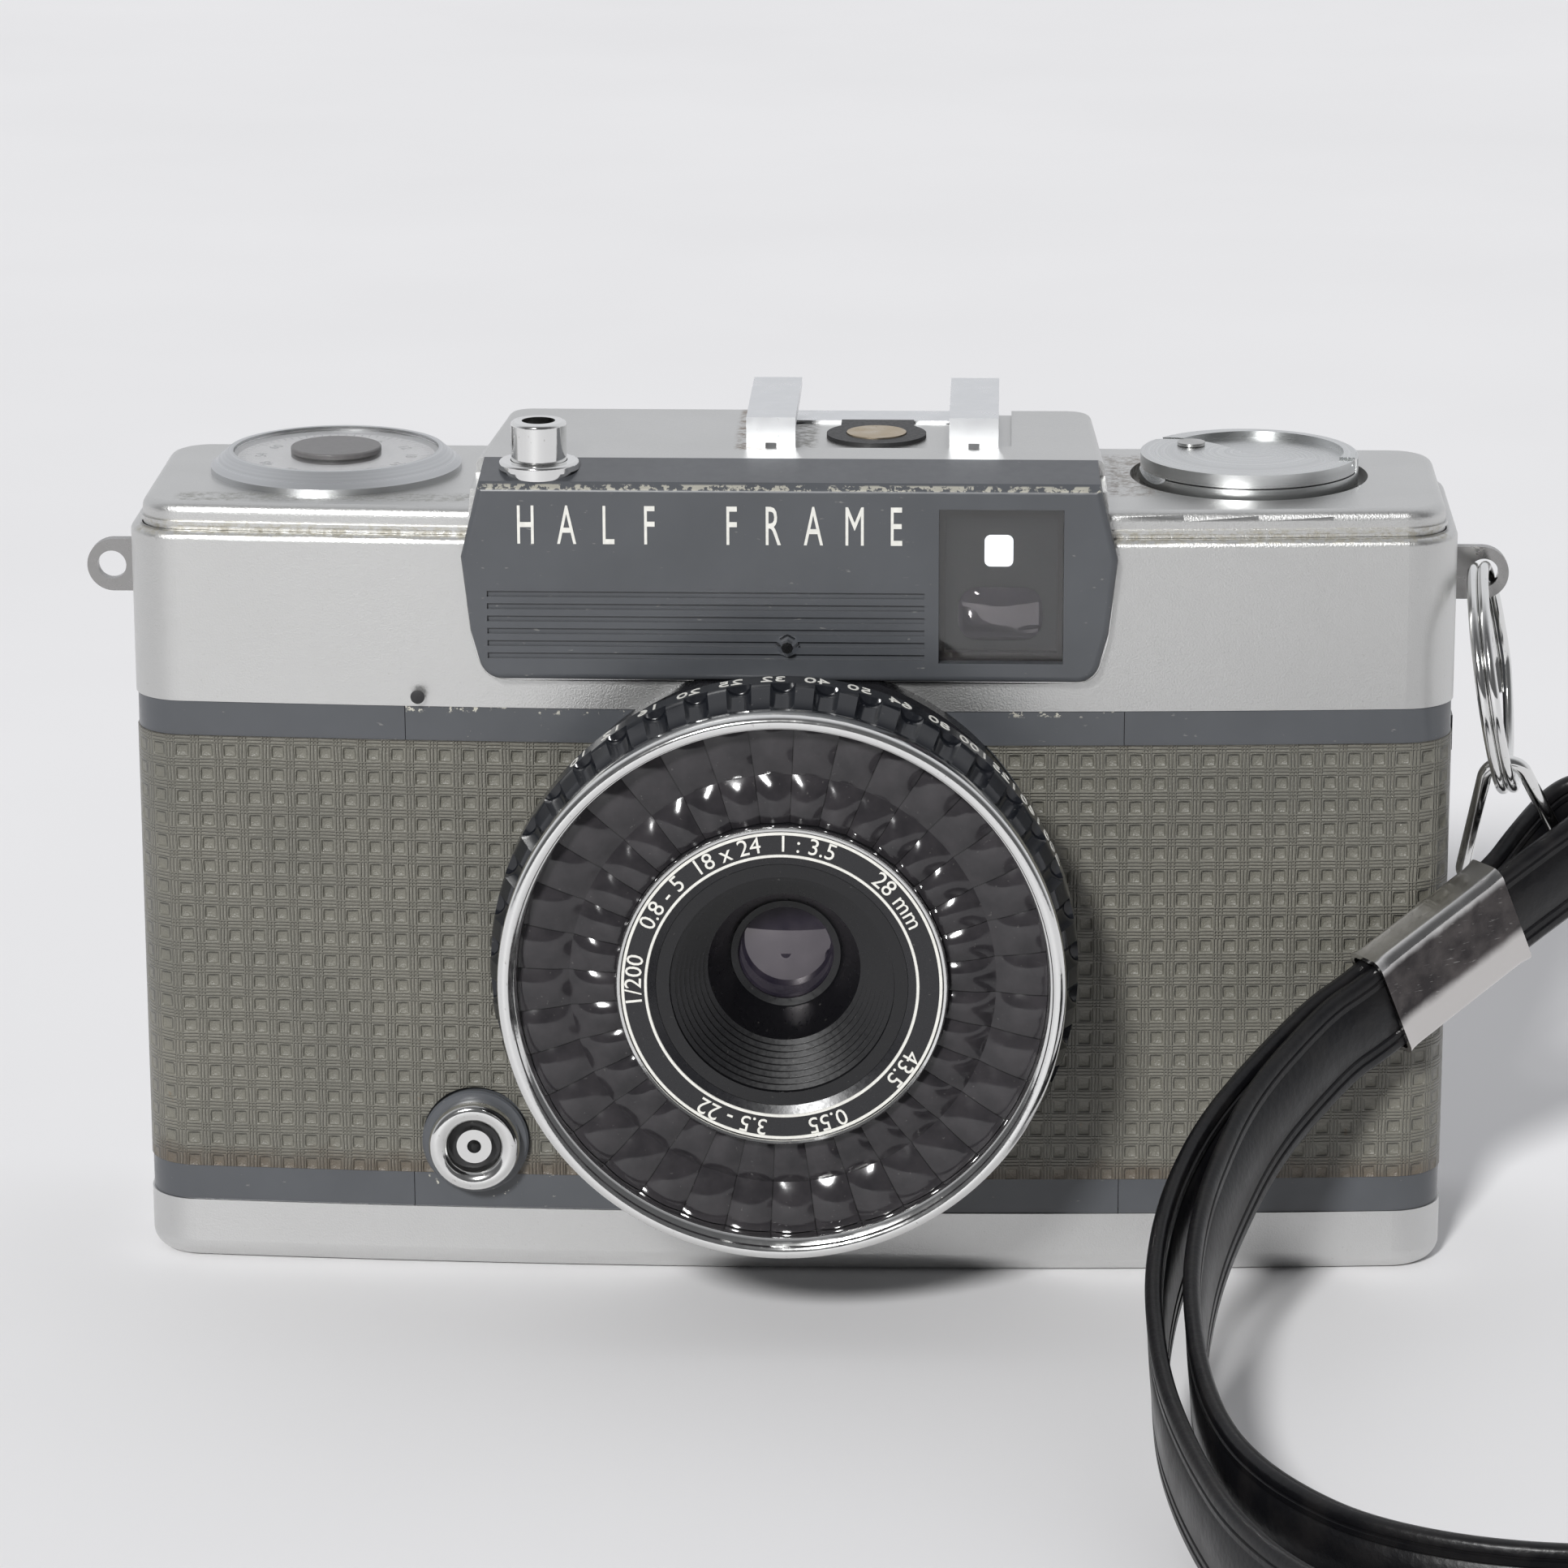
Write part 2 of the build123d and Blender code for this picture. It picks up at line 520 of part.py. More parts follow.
with BuildPart() as rewind_knob:
    drum(REWIND_X, REWIND_Y, REWIND_R, 63.75, 66.6, mode=Mode.ADD)
    fillet(rewind_knob.faces().sort_by(Axis.Z)[-1].edges(), radius=0.3)
    with BuildSketch(Plane.XY.offset(CRANK_Z0 - 0.1)):
        crank_plan(-0.3)
    extrude(amount=2.0, mode=Mode.SUBTRACT)
    # dished back half, behind the crank's edge
    drum(REWIND_X + 0.5, REWIND_Y + 0.5, 7.3, 66.05, 67.0)
    drum(REWIND_X, REWIND_Y, 1.5, 57.0, 63.8, mode=Mode.ADD)
    # round groove that the crank's left end turns down into
    with BuildSketch(Plane.XZ.offset(-REWIND_Y - 9.5)):
        with Locations((CRANK_HINGE_X, CRANK_HINGE_Z)):
            Circle(1.25)
    extrude(amount=19, mode=Mode.SUBTRACT)
save(rewind_knob, "rewind_knob")

with BuildPart() as rewind_crank:
    with BuildSketch(Plane.XY.offset(CRANK_Z0)):
        crank_plan(0.05)
    extrude(amount=CRANK_Z1 - CRANK_Z0)
    drum(RIVET_X, RIVET_Y, 0.8, 60.0, 70.0)
    # nail notch under the free end
    block(REWIND_X + 5.6, REWIND_X + 8.4, REWIND_Y - 3.4, REWIND_Y - 1.6, 66.1, 67.0)
save(rewind_crank, "rewind_crank")

with BuildPart() as crank_rivet:
    drum(RIVET_X, RIVET_Y, 0.78, CRANK_Z0 + 0.05, CRANK_Z1 + 0.05, mode=Mode.ADD)
    drum(RIVET_X, RIVET_Y, 1.15, CRANK_Z1 + 0.05, CRANK_Z1 + 0.3, mode=Mode.ADD)
save(crank_rivet, "crank_rivet")

with BuildPart() as rewind_sleeve:
    drum(REWIND_X, REWIND_Y, 2.3, 57.0, 63.2, mode=Mode.ADD)
    drum(REWIND_X, REWIND_Y, 1.56, 56.9, 63.3)
save(rewind_sleeve, "rewind_sleeve")

with BuildPart() as rewind_fork:
    drum(REWIND_X, REWIND_Y, 1.5, 49.0, 57.0, mode=Mode.ADD)
    block(REWIND_X - 1.55, REWIND_X + 1.55, REWIND_Y - 0.6, REWIND_Y + 0.6, 44.0, 49.0, mode=Mode.ADD)
    block(REWIND_X - 0.7, REWIND_X + 0.7, REWIND_Y - 1.0, REWIND_Y + 1.0, 43.5, 47.5)
save(rewind_fork, "rewind_fork")

# ---------------------------------------------------------------- lens, meter and shutter
GRIP_R = 23.4
GRIP_NOTCHES = 42
with BuildPart() as lens_mount:
    lens_ring(-12.2, -25.2, 20.1, 16.15)
    lens_ring(-12.2, -15.2, 21.6, 16.15)
    lens_ring(-24.2, -25.2, 22.2, 16.15)
    # its back follows the bowed front, and its top clears the hood
    with BuildSketch():
        body_plan(PANEL_INSET - 0.02)
    extrude(amount=COVER_LOW_Z, mode=Mode.SUBTRACT)
    with BuildSketch(Plane.XY.offset(COVER_LOW_Z - 0.02)):
        body_plan(-0.02)
    extrude(amount=10, mode=Mode.SUBTRACT)
    block(-30, 30, -16.0, -10.0, 51.15, 60.0)
save(lens_mount, "lens_mount")

with BuildPart() as film_speed_ring:
    lens_profile((21.56, -25.4), (22.3, -25.4), (22.3, -24.25), (GRIP_R, -24.25), (GRIP_R, -27.6),
                 (22.45, -29.9), (21.56, -29.9))
    for k in range(GRIP_NOTCHES):
        angle = math.radians(k * 360 / GRIP_NOTCHES)
        lens_ring(-27.1, -29.95, 1.15, x=(GRIP_R + 0.55) * math.cos(angle),
                  z=LENS_Z + (GRIP_R + 0.55) * math.sin(angle), mode=Mode.SUBTRACT)
save(film_speed_ring, "film_speed_ring")

with BuildPart() as lens_barrel:
    lens_profile((10.8, -25.2), (21.5, -25.2), (21.5, -29.95), (21.9, -29.95), (21.9, -30.4),
                 (20.98, -30.4), (20.98, -27.0), (10.8, -27.0))
save(lens_barrel, "lens_barrel")

with BuildPart() as front_bezel:
    lens_profile((20.98, -30.4), (22.2, -30.4), (22.4, -30.7), (22.4, -32.8), (22.1, -33.1),
                 (21.5, -33.1), (21.3, -32.8), (21.3, -31.4), (20.98, -31.2))
save(front_bezel, "front_bezel")

with BuildPart() as meter_window:
    lens_ring(-29.7, -31.1, 20.95, 13.12)
save(meter_window, "meter_window")

with BuildPart() as selenium_cell:
    lens_ring(-27.2, -29.3, 20.8, 11.2)
save(selenium_cell, "selenium_cell")

with BuildPart() as name_ring:
    lens_profile((9.98, -29.5), (13.08, -29.5), (13.08, -31.6), (12.7, -31.75), (10.7, -31.75), (9.98, -31.4))
save(name_ring, "name_ring")

CONE_RIBS = 8
with BuildPart() as lens_cone:
    inner = [(8.9, -31.4)]
    for k in range(CONE_RIBS):
        y = -31.0 + k * 0.62
        r = 8.75 - k * 0.34
        inner += [(r + 0.1, y), (r - 0.28, y + 0.12), (r - 0.28, y + 0.34)]
    lens_profile((9.95, -31.4), *inner, (4.4, -22.9), (3.85, -22.75), (3.85, -22.45), (4.25, -22.45),
                 (4.25, -18.2), (5.2, -18.2), (5.2, -21.4), (9.95, -21.4))
save(lens_cone, "lens_cone")


def lens_element(y_back, y_front, radius, bulge_back, bulge_front):
    """A glass element: a disc between two spherical caps."""
    lens_ring(y_back, y_front, radius)
    for y, bulge, way in ((y_front, bulge_front, -1), (y_back, bulge_back, 1)):
        ball = (radius ** 2 + bulge ** 2) / (2 * bulge)
        with BuildSketch(Plane(origin=(0, 0, LENS_Z), x_dir=(1, 0, 0), z_dir=(0, 0, 1))) as cap:
            with BuildLine():
                CenterArc((0, y - way * (ball - bulge)), ball, way * 90, -way * math.degrees(
                    math.asin(radius / ball)))
                Line((radius, y), (0, y))
                Line((0, y), (0, y + way * bulge))
            make_face()
        revolve(cap.sketch, axis=Axis((0, 0, LENS_Z), (0, 1, 0)))


with BuildPart() as front_element:
    lens_element(-20.9, -22.3, 4.22, 0.2, 0.7)
save(front_element, "front_element")

with BuildPart() as middle_element:
    lens_element(-18.8, -19.6, 4.22, 0.3, 0.3)
save(middle_element, "middle_element")

with BuildPart() as rear_element:
    lens_element(-8.6, -10.4, 4.6, 0.8, 0.3)
save(rear_element, "rear_element")

BLADE_PIVOT_X, BLADE_PIVOT_Z = 10.1, 3.8
with BuildPart() as shutter_case:
    lens_ring(-5.2, -25.15, 16.05)
    lens_ring(-11.8, -21.0, 14.9, mode=Mode.SUBTRACT)
    lens_ring(-21.0, -25.3, 9.98, mode=Mode.SUBTRACT)
    lens_ring(-5.0, -11.9, 4.65, mode=Mode.SUBTRACT)
    lens_ring(-5.0, -8.4, 9.5, mode=Mode.SUBTRACT)
    for side in (-1, 1):
        lens_ring(-11.7, -17.4, 0.8, x=side * BLADE_PIVOT_X, z=LENS_Z + side * BLADE_PIVOT_Z)
save(shutter_case, "shutter_case")


def shutter_blade(side, y_back):
    """One blade: a disc over the aperture with an arm to its pivot."""
    pivot = (side * BLADE_PIVOT_X, side * BLADE_PIVOT_Z)
    with BuildSketch(lens_plane(y_back)) as blade:
        Circle(4.8)
        with Locations(pivot):
            Circle(1.9)
        with BuildLine():
            Polyline((-side * 1.4, side * 3.6), (side * 1.4, -side * 3.6),
                     (pivot[0] + side * 0.7, pivot[1] - side * 1.6),
                     (pivot[0] - side * 0.6, pivot[1] + side * 1.7), close=True)
        make_face()
        with Locations(pivot):
            Circle(0.85, mode=Mode.SUBTRACT)
    extrude(blade.sketch, amount=0.3)


with BuildPart() as shutter_blade_a:
    shutter_blade(-1, -14.0)
save(shutter_blade_a, "shutter_blade_a")

with BuildPart() as shutter_blade_b:
    shutter_blade(1, -15.0)
save(shutter_blade_b, "shutter_blade_b")

# ---------------------------------------------------------------- flash sync socket
with BuildPart() as sync_socket:
    lens_ring(-12.9, -13.5, 3.2, 1.5, x=SYNC_X, z=SYNC_Z)
    lens_profile((2.2, -13.45), (4.4, -13.45), (4.4, -13.75), (3.75, -13.8), (3.75, -15.2), (3.45, -15.6),
                 (2.5, -15.6), (2.2, -15.2), x=SYNC_X, z=SYNC_Z)
save(sync_socket, "sync_socket")

with BuildPart() as sync_contact:
    lens_ring(-12.9, -15.0, 1.45, 0.58, x=SYNC_X, z=SYNC_Z)
save(sync_contact, "sync_contact")

# ---------------------------------------------------------------- strap lugs
with BuildPart() as strap_lugs:
    for side in (-1, 1):
        with BuildSketch(Plane.XZ.offset(-LUG_T / 2)):
            with Locations((side * (LUG_X - 2.0), LUG_Z)):
                Rectangle(3.9, 4.4)
            with Locations((side * (LUG_X - 0.15), LUG_Z)):
                Circle(2.2)
            with Locations((side * LUG_X, LUG_Z)):
                Circle(LUG_HOLE_R, mode=Mode.SUBTRACT)
        extrude(amount=LUG_T)
    block(-52.96, 52.96, -5, 5, 40, 70)
save(strap_lugs, "strap_lugs")

# ---------------------------------------------------------------- back door
DOOR_Z0, DOOR_Z1 = BASE_TOP_Z + 0.25, COVER_LOW_Z - 0.25
with BuildPart() as back_door:
    with BuildSketch(Plane.XY.offset(DOOR_Z0)):
        body_plan(0, back=DOOR_BACK_Y)
    extrude(amount=DOOR_Z1 - DOOR_Z0)
    with BuildSketch(Plane.XY.offset(DOOR_Z0 - 0.1)):
        body_plan(DOOR_WALL, back=DOOR_BACK_Y)
    extrude(amount=DOOR_Z1 - DOOR_Z0 + 0.2, mode=Mode.SUBTRACT)
    block(-80, 80, -30, DOOR_START_Y, 0, 60)
    # hinge knuckle, with the leaf that joins it to the door's end
    drum(HINGE_X, HINGE_Y, HINGE_R, 12.0, 54.2, mode=Mode.ADD)
    block(-54.0, HINGE_X + 0.3, HINGE_Y + 0.6, DOOR_START_Y + 0.5, 12.0, 48.0, mode=Mode.ADD)
    drum(HINGE_X, HINGE_Y, 0.66, 5.0, 60.0)
save(back_door, "back_door")

with BuildPart() as hinge_pin:
    drum(HINGE_X, HINGE_Y, 0.6, 6.0, 54.6, mode=Mode.ADD)
    drum(HINGE_X, HINGE_Y, HINGE_R, 6.0, 11.7, mode=Mode.ADD)
    block(HINGE_X, HINGE_X + 2.0, HINGE_Y - 0.8, HINGE_Y + 0.8, 6.0, 11.7, mode=Mode.ADD)
save(hinge_pin, "hinge_pin")

with BuildPart() as door_leatherette:
    with BuildSketch(Plane.XY.offset(LEATHER_LOW_Z)):
        with Locations((0, DOOR_BACK_Y + 0.2)):
            Rectangle(92, 0.4)
    extrude(amount=LEATHER_HIGH_Z - LEATHER_LOW_Z)
save(door_leatherette, "door_leatherette")

with BuildPart() as pressure_plate:
    block(-14.0, 15.0, FILM_Y + 0.5, FILM_Y + 1.3, 15.0, 46.5, mode=Mode.ADD)
    # two leaf springs hold it off the door
    for z in (22.0, 39.0):
        block(-9.0, 10.0, FILM_Y + 1.3, DOOR_BACK_Y - DOOR_WALL, z - 1.5, z + 1.5, mode=Mode.ADD)
        block(-6.0, 7.0, FILM_Y + 2.0, DOOR_BACK_Y - DOOR_WALL - 0.5, z - 1.6, z + 1.6)
save(pressure_plate, "pressure_plate")

with BuildPart() as door_latch:
    block(HALF_W + 0.06, HALF_W + 0.75, DOOR_START_Y + 0.4, 9.6, 11.0, 46.0, mode=Mode.ADD)
    block(HALF_W + 0.06, HALF_W + 1.1, DOOR_START_Y + 0.4, 9.6, 40.0, 43.0, mode=Mode.ADD)
save(door_latch, "door_latch")

# ---------------------------------------------------------------- film transport
KNURLS = 48
with BuildPart() as advance_wheel:
    drum(COUNTER_X, COUNTER_Y, 12.4, 50.2, 54.6, mode=Mode.ADD)
    with BuildSketch(Plane.XY.offset(50.1)):
        with Locations((COUNTER_X, COUNTER_Y)):
            with PolarLocations(12.62, KNURLS):
                Circle(0.42)
    extrude(amount=4.6, mode=Mode.SUBTRACT)
    drum(COUNTER_X, COUNTER_Y, 2.5, 46.5, 50.2, mode=Mode.ADD)
save(advance_wheel, "advance_wheel")

with BuildPart() as takeup_spool:
    drum(COUNTER_X, COUNTER_Y, 4.8, 7.0, 46.5, mode=Mode.ADD)
    for z in (8.0, 44.6):
        drum(COUNTER_X, COUNTER_Y, 8.3, z, z + 1.0, mode=Mode.ADD)
    block(COUNTER_X - 0.5, COUNTER_X + 0.5, COUNTER_Y - 6, COUNTER_Y + 6, 14.0, 40.0)
save(takeup_spool, "takeup_spool")

SPROCKET_X, SPROCKET_Y = -22.0, 2.4
with BuildPart() as film_sprocket:
    drum(SPROCKET_X, SPROCKET_Y, 4.4, 8.0, 48.0, mode=Mode.ADD)
    for z in (13.6, 45.2):
        drum(SPROCKET_X, SPROCKET_Y, 5.2, z - 1.0, z + 1.0, mode=Mode.ADD)
        with BuildSketch(Plane.XY.offset(z - 0.6)):
            with Locations((SPROCKET_X, SPROCKET_Y)):
                with PolarLocations(5.2, 8):
                    Rectangle(1.8, 1.2)
        extrude(amount=1.2)
save(film_sprocket, "film_sprocket")

# ---------------------------------------------------------------- rings, ferrule and strap
LEAN_UP = Vector(-LEAN_X, -LEAN_Y, 1).normalized()   # across the leaning plane, upwards
LEAN_ALONG = Vector(1, 0, LEAN_X).normalized()
LEAN_PLANE = Plane(origin=(0, 0, LEAN_Z), x_dir=LEAN_ALONG, z_dir=LEAN_UP)


def on_lean(x, y):
    """The point of the leaning plane above a point of the floor."""
    return Vector(x, y, LEAN_Z + LEAN_X * x + LEAN_Y * y)


RING_WIRE_R = 0.45
RING_TURN_GAP = 0.88                     # between the wire's two turns, centre to centre
LUG_POINT = Vector(LUG_X, 0, LUG_Z - 0.1)
RING_LOW = Vector(58.2, -10.0, 41.8)
TRIANGLE_TOP = Vector(57.35, -11.15, 47.44)   # where the two legs would meet
TRIANGLE_RIGHT = Vector(66.5, -1.7, 29.1)
TRIANGLE_LEFT = Vector(55.3, -3.4, 31.8)
TRIANGLE_WIRE_R = 0.6

hang = (RING_LOW - LUG_POINT).normalized()
ring_side = (Vector(0, 1, 0) - hang * hang.Y).normalized().rotate(Axis((0, 0, 0), hang), 8)
ring_face = hang.cross(ring_side)
ring_centre = (LUG_POINT + RING_LOW) / 2
ring_r = (RING_LOW - LUG_POINT).length / 2

with BuildPart() as split_ring:
    for turn in (-0.5, 0.5):
        turn_centre = ring_centre + ring_face * (turn * RING_TURN_GAP)
        with Locations(Plane(origin=turn_centre, x_dir=hang, z_dir=ring_face)):
            Torus(ring_r, RING_WIRE_R)
save(split_ring, "split_ring")

with BuildPart() as triangle_ring:
    with BuildLine():
        wire_path = FilletPolyline(
            TRIANGLE_TOP, TRIANGLE_LEFT, TRIANGLE_RIGHT, radius=1.7, close=True)
    with BuildSketch(Plane(origin=wire_path @ 0, z_dir=wire_path % 0)):
        Circle(TRIANGLE_WIRE_R)
    sweep()
save(triangle_ring, "triangle_ring")

FERRULE_LOW = on_lean(47.8, -17.2)
FERRULE_HIGH = on_lean(58.6, -9.8)
FERRULE_LENGTH = 13.6
ferrule_along = (FERRULE_HIGH - FERRULE_LOW).normalized()
with BuildPart() as ferrule:
    with BuildSketch(Plane(origin=FERRULE_LOW + ferrule_along * 0.4, x_dir=LEAN_UP, z_dir=ferrule_along)):
        RectangleRounded(STRAP_W + 1.3, 4.0, 0.9)
        RectangleRounded(STRAP_W + 0.4, 3.3, 0.5, mode=Mode.SUBTRACT)
    extrude(amount=FERRULE_LENGTH)
save(ferrule, "ferrule")

# The strap is one strip. It starts inside the ferrule, runs out round the wrist loop, comes back
# through the ferrule, goes round the ring and ends inside the ferrule.
OUTER_LEAN = (
    (53.2, -12.5),
    (47.4, -16.6),
    (42.4, -20.9),
    (37.4, -27.0),
    (33.6, -34.3),
    (31.2, -42.6),
    (29.9, -52.0),
    (29.7, -62.6),
)
FLOOR_LOOP = (
    (29.72, -60.8),
    (29.7, -68.0),
    (30.7, -76.0),
    (33.2, -84.6),
    (37.8, -92.6),
    (44.6, -99.4),
    (53.2, -104.0),
    (63.2, -106.6),
    (74.0, -107.0),
    (85.0, -105.2),
    (95.4, -101.0),
    (103.4, -94.2),
    (105.6, -85.6),
    (100.6, -79.4),
    (92.0, -78.6),
    (82.6, -81.6),
    (72.4, -84.4),
    (62.0, -84.6),
    (52.0, -81.6),
    (42.6, -76.2),
)
INNER_LEAN = (
    (45.4, -77.8),
    (39.4, -74.0),
    (35.6, -69.0),
    (33.4, -61.0),
    (32.7, -52.0),
    (33.4, -43.2),
    (35.5, -35.0),
    (39.2, -27.6),
    (43.9, -21.6),
    (48.3, -17.9),
    (59.1, -10.5),
    (62.4, -8.4),
    (65.6, -6.5),
    (67.6, -4.2),
    (66.9, -1.2),
    (64.0, -1.1),
    (60.6, -5.2),
    (58.0, -9.2),
    (53.6, -12.2),
)


def bend_radii(points):
    """The largest radius that each point's two runs allow, and the turn there in degrees."""
    radii = []
    for before, here, after in zip(points, points[1:], points[2:]):
        run_in = Vector(*here) - Vector(*before)
        run_out = Vector(*after) - Vector(*here)
        turn = run_in.get_angle(run_out)
        radii.append(0.45 * min(run_in.length, run_out.length) / math.tan(math.radians(turn) / 2))
    return radii


def band(points, plane):
    """A strip of the strap that stands across a plane, along points given in that plane."""
    with BuildSketch(plane) as strip:
        with BuildLine():
            route = FilletPolyline(*points, radius=bend_radii(points))
        trace(line_width=STRAP_T)
    extrude(strip.sketch, amount=STRAP_W / 2, both=True)
    print("strap run", round(route.length, 1), "mm, radii",
          [round(radius, 1) for radius in bend_radii(points)])
    return route.length


def lean_points(points):
    """The given floor points carried up to the leaning plane, in its own two axes."""
    local = [LEAN_PLANE.to_local_coords(on_lean(x, y)) for x, y in points]
    return [(point.X, point.Y) for point in local]


with BuildPart() as strap:
    strap_length = band(lean_points(OUTER_LEAN), LEAN_PLANE)
    strap_length += band(FLOOR_LOOP, Plane.XY.offset(FLOOR_BAND_Z))
    strap_length += band(lean_points(INNER_LEAN), LEAN_PLANE)
save(strap, "strap")
print("strap length", round(strap_length), "mm, volume", round(strap.part.volume),
      "of", round(strap_length * STRAP_W * STRAP_T), "mm3")
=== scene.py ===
import bpy
import math
from mathutils import Matrix, Vector


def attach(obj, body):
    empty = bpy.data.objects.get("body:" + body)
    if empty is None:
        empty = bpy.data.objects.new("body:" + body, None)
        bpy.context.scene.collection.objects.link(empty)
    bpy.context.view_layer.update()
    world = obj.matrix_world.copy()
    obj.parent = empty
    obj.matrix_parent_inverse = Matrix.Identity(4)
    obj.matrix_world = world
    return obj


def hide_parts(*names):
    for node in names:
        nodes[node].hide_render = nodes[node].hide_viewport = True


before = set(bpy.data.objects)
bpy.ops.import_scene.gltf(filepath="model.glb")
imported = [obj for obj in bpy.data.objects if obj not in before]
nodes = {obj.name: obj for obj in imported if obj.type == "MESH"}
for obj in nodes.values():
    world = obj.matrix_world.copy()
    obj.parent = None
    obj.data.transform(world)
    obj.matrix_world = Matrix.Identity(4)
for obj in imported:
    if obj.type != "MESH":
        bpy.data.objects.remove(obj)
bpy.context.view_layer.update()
MM = 0.001
LENS_Z = 30.8                    # height of the lens axis above the floor
CELLS = 36                       # cells in each ring of the meter window
CELL_START = math.radians(7.3)   # angle of one boundary between cells
LEAN_X, LEAN_Y, LEAN_Z = 0.375, 0.31, 12.4   # the ferrule leans in the plane z = LEAN_Z + LEAN_X x + LEAN_Y y

# ------------------------------------------------------------ camera
CAM_AZ, CAM_EL, CAM_ROLL, CAM_DIST = 2.178, 15.707, -0.166, 0.49526
CAM_AIM = Vector((-0.000978, 0.0, 0.038471))
LENS_MM = 135.99


def place_camera():
    az, el, roll = (math.radians(v) for v in (CAM_AZ, CAM_EL, CAM_ROLL))
    back = Vector((math.sin(az) * math.cos(el), -math.cos(az) * math.cos(el), math.sin(el)))
    side = (-back).cross(Vector((0, 0, 1))).normalized()
    upward = side.cross(-back)
    right = side * math.cos(roll) + upward * math.sin(roll)
    up = upward * math.cos(roll) - side * math.sin(roll)
    cam = bpy.data.objects.new("camera", bpy.data.cameras.new("camera"))
    bpy.context.scene.collection.objects.link(cam)
    cam.data.sensor_width = 36
    cam.data.lens = LENS_MM
    cam.data.clip_start = 0.02
    cam.data.clip_end = 30
    turn = Matrix((right, up, back)).transposed().to_4x4()
    cam.matrix_world = Matrix.Translation(CAM_AIM + back * CAM_DIST) @ turn
    bpy.context.scene.camera = cam


place_camera()


# ------------------------------------------------------------ node helpers
class Look:
    """A procedural material: a Principled shader and short names for the nodes that feed it."""

    def __init__(self, name, color=(0.5, 0.5, 0.5), metallic=0.0, roughness=0.5, **more):
        self.mat = bpy.data.materials.new(name)
        self.mat.use_nodes = True
        self.tree = self.mat.node_tree
        self.bsdf = self.tree.nodes["Principled BSDF"]
        self.set(**{"Base Color": (*color, 1), "Metallic": metallic, "Roughness": roughness})
        self.set(**{key.replace("_", " "): value for key, value in more.items()})
        self._mm = None

    def set(self, **inputs):
        for key, value in inputs.items():
            self.plug(value, self.bsdf.inputs[key])

    def plug(self, value, socket):
        if isinstance(value, bpy.types.NodeSocket):
            self.tree.links.new(value, socket)
        else:
            socket.default_value = value

    def mm(self):
        """Object coordinates in millimetres."""
        if self._mm is None:
            coord = self.tree.nodes.new("ShaderNodeTexCoord")
            scale = self.tree.nodes.new("ShaderNodeVectorMath")
            scale.operation = "SCALE"
            self.tree.links.new(coord.outputs["Object"], scale.inputs[0])
            scale.inputs["Scale"].default_value = 1000
            self._mm = scale.outputs[0]
        return self._mm

    def axes(self):
        split = self.tree.nodes.new("ShaderNodeSeparateXYZ")
        self.tree.links.new(self.mm(), split.inputs[0])
        return split.outputs[0], split.outputs[1], split.outputs[2]

    def join(self, x, y, z):
        node = self.tree.nodes.new("ShaderNodeCombineXYZ")
        for value, socket in zip((x, y, z), node.inputs):
            self.plug(value, socket)
        return node.outputs[0]

    def math(self, op, a, b=0.0):
        node = self.tree.nodes.new("ShaderNodeMath")
        node.operation = op
        for value, socket in zip((a, b), node.inputs):
            self.plug(value, socket)
        return node.outputs[0]

    def noise(self, scale, detail=3.0, vector=None, rough=0.55, stretch=None):
        node = self.tree.nodes.new("ShaderNodeTexNoise")
        vector = vector or self.mm()
        if stretch:
            mult = self.tree.nodes.new("ShaderNodeVectorMath")
            mult.operation = "MULTIPLY"
            self.tree.links.new(vector, mult.inputs[0])
            mult.inputs[1].default_value = stretch
            vector = mult.outputs[0]
        self.tree.links.new(vector, node.inputs["Vector"])
        node.inputs["Scale"].default_value = scale
        node.inputs["Detail"].default_value = detail
        node.inputs["Roughness"].default_value = rough
        return node.outputs[0]

    def cells(self, scale):
        node = self.tree.nodes.new("ShaderNodeTexVoronoi")
        self.tree.links.new(self.mm(), node.inputs["Vector"])
        node.inputs["Scale"].default_value = scale
        return node.outputs["Distance"]

    def span(self, value, low, high, out_low=0.0, out_high=1.0, smooth=False):
        node = self.tree.nodes.new("ShaderNodeMapRange")
        node.interpolation_type = "SMOOTHSTEP" if smooth else "LINEAR"
        self.plug(value, node.inputs["Value"])
        for key, number in (("From Min", low), ("From Max", high), ("To Min", out_low), ("To Max", out_high)):
            node.inputs[key].default_value = number
        return node.outputs["Result"]

    def band(self, value, low, high, soft):
        """1 between two limits, fading to 0 over a soft edge."""
        up = self.span(value, low - soft, low + soft, smooth=True)
        down = self.span(value, high - soft, high + soft, 1.0, 0.0, smooth=True)
        return self.math("MULTIPLY", up, down)

    def mix(self, factor, a, b):
        node = self.tree.nodes.new("ShaderNodeMix")
        node.data_type = "RGBA"
        self.plug(factor, node.inputs[0])
        for value, socket in ((a, node.inputs[6]), (b, node.inputs[7])):
            self.plug((*value, 1) if isinstance(value, tuple) and len(value) == 3 else value, socket)
        return node.outputs[2]

    def bump(self, height, strength, distance):
        node = self.tree.nodes.new("ShaderNodeBump")
        node.inputs["Strength"].default_value = strength
        node.inputs["Distance"].default_value = distance
        self.plug(height, node.inputs["Height"])
        self.set(Normal=node.outputs[0])

    def mul(self, a, b):
        return self.math("MULTIPLY", a, b)

    def add(self, a, b):
        return self.math("ADD", a, b)


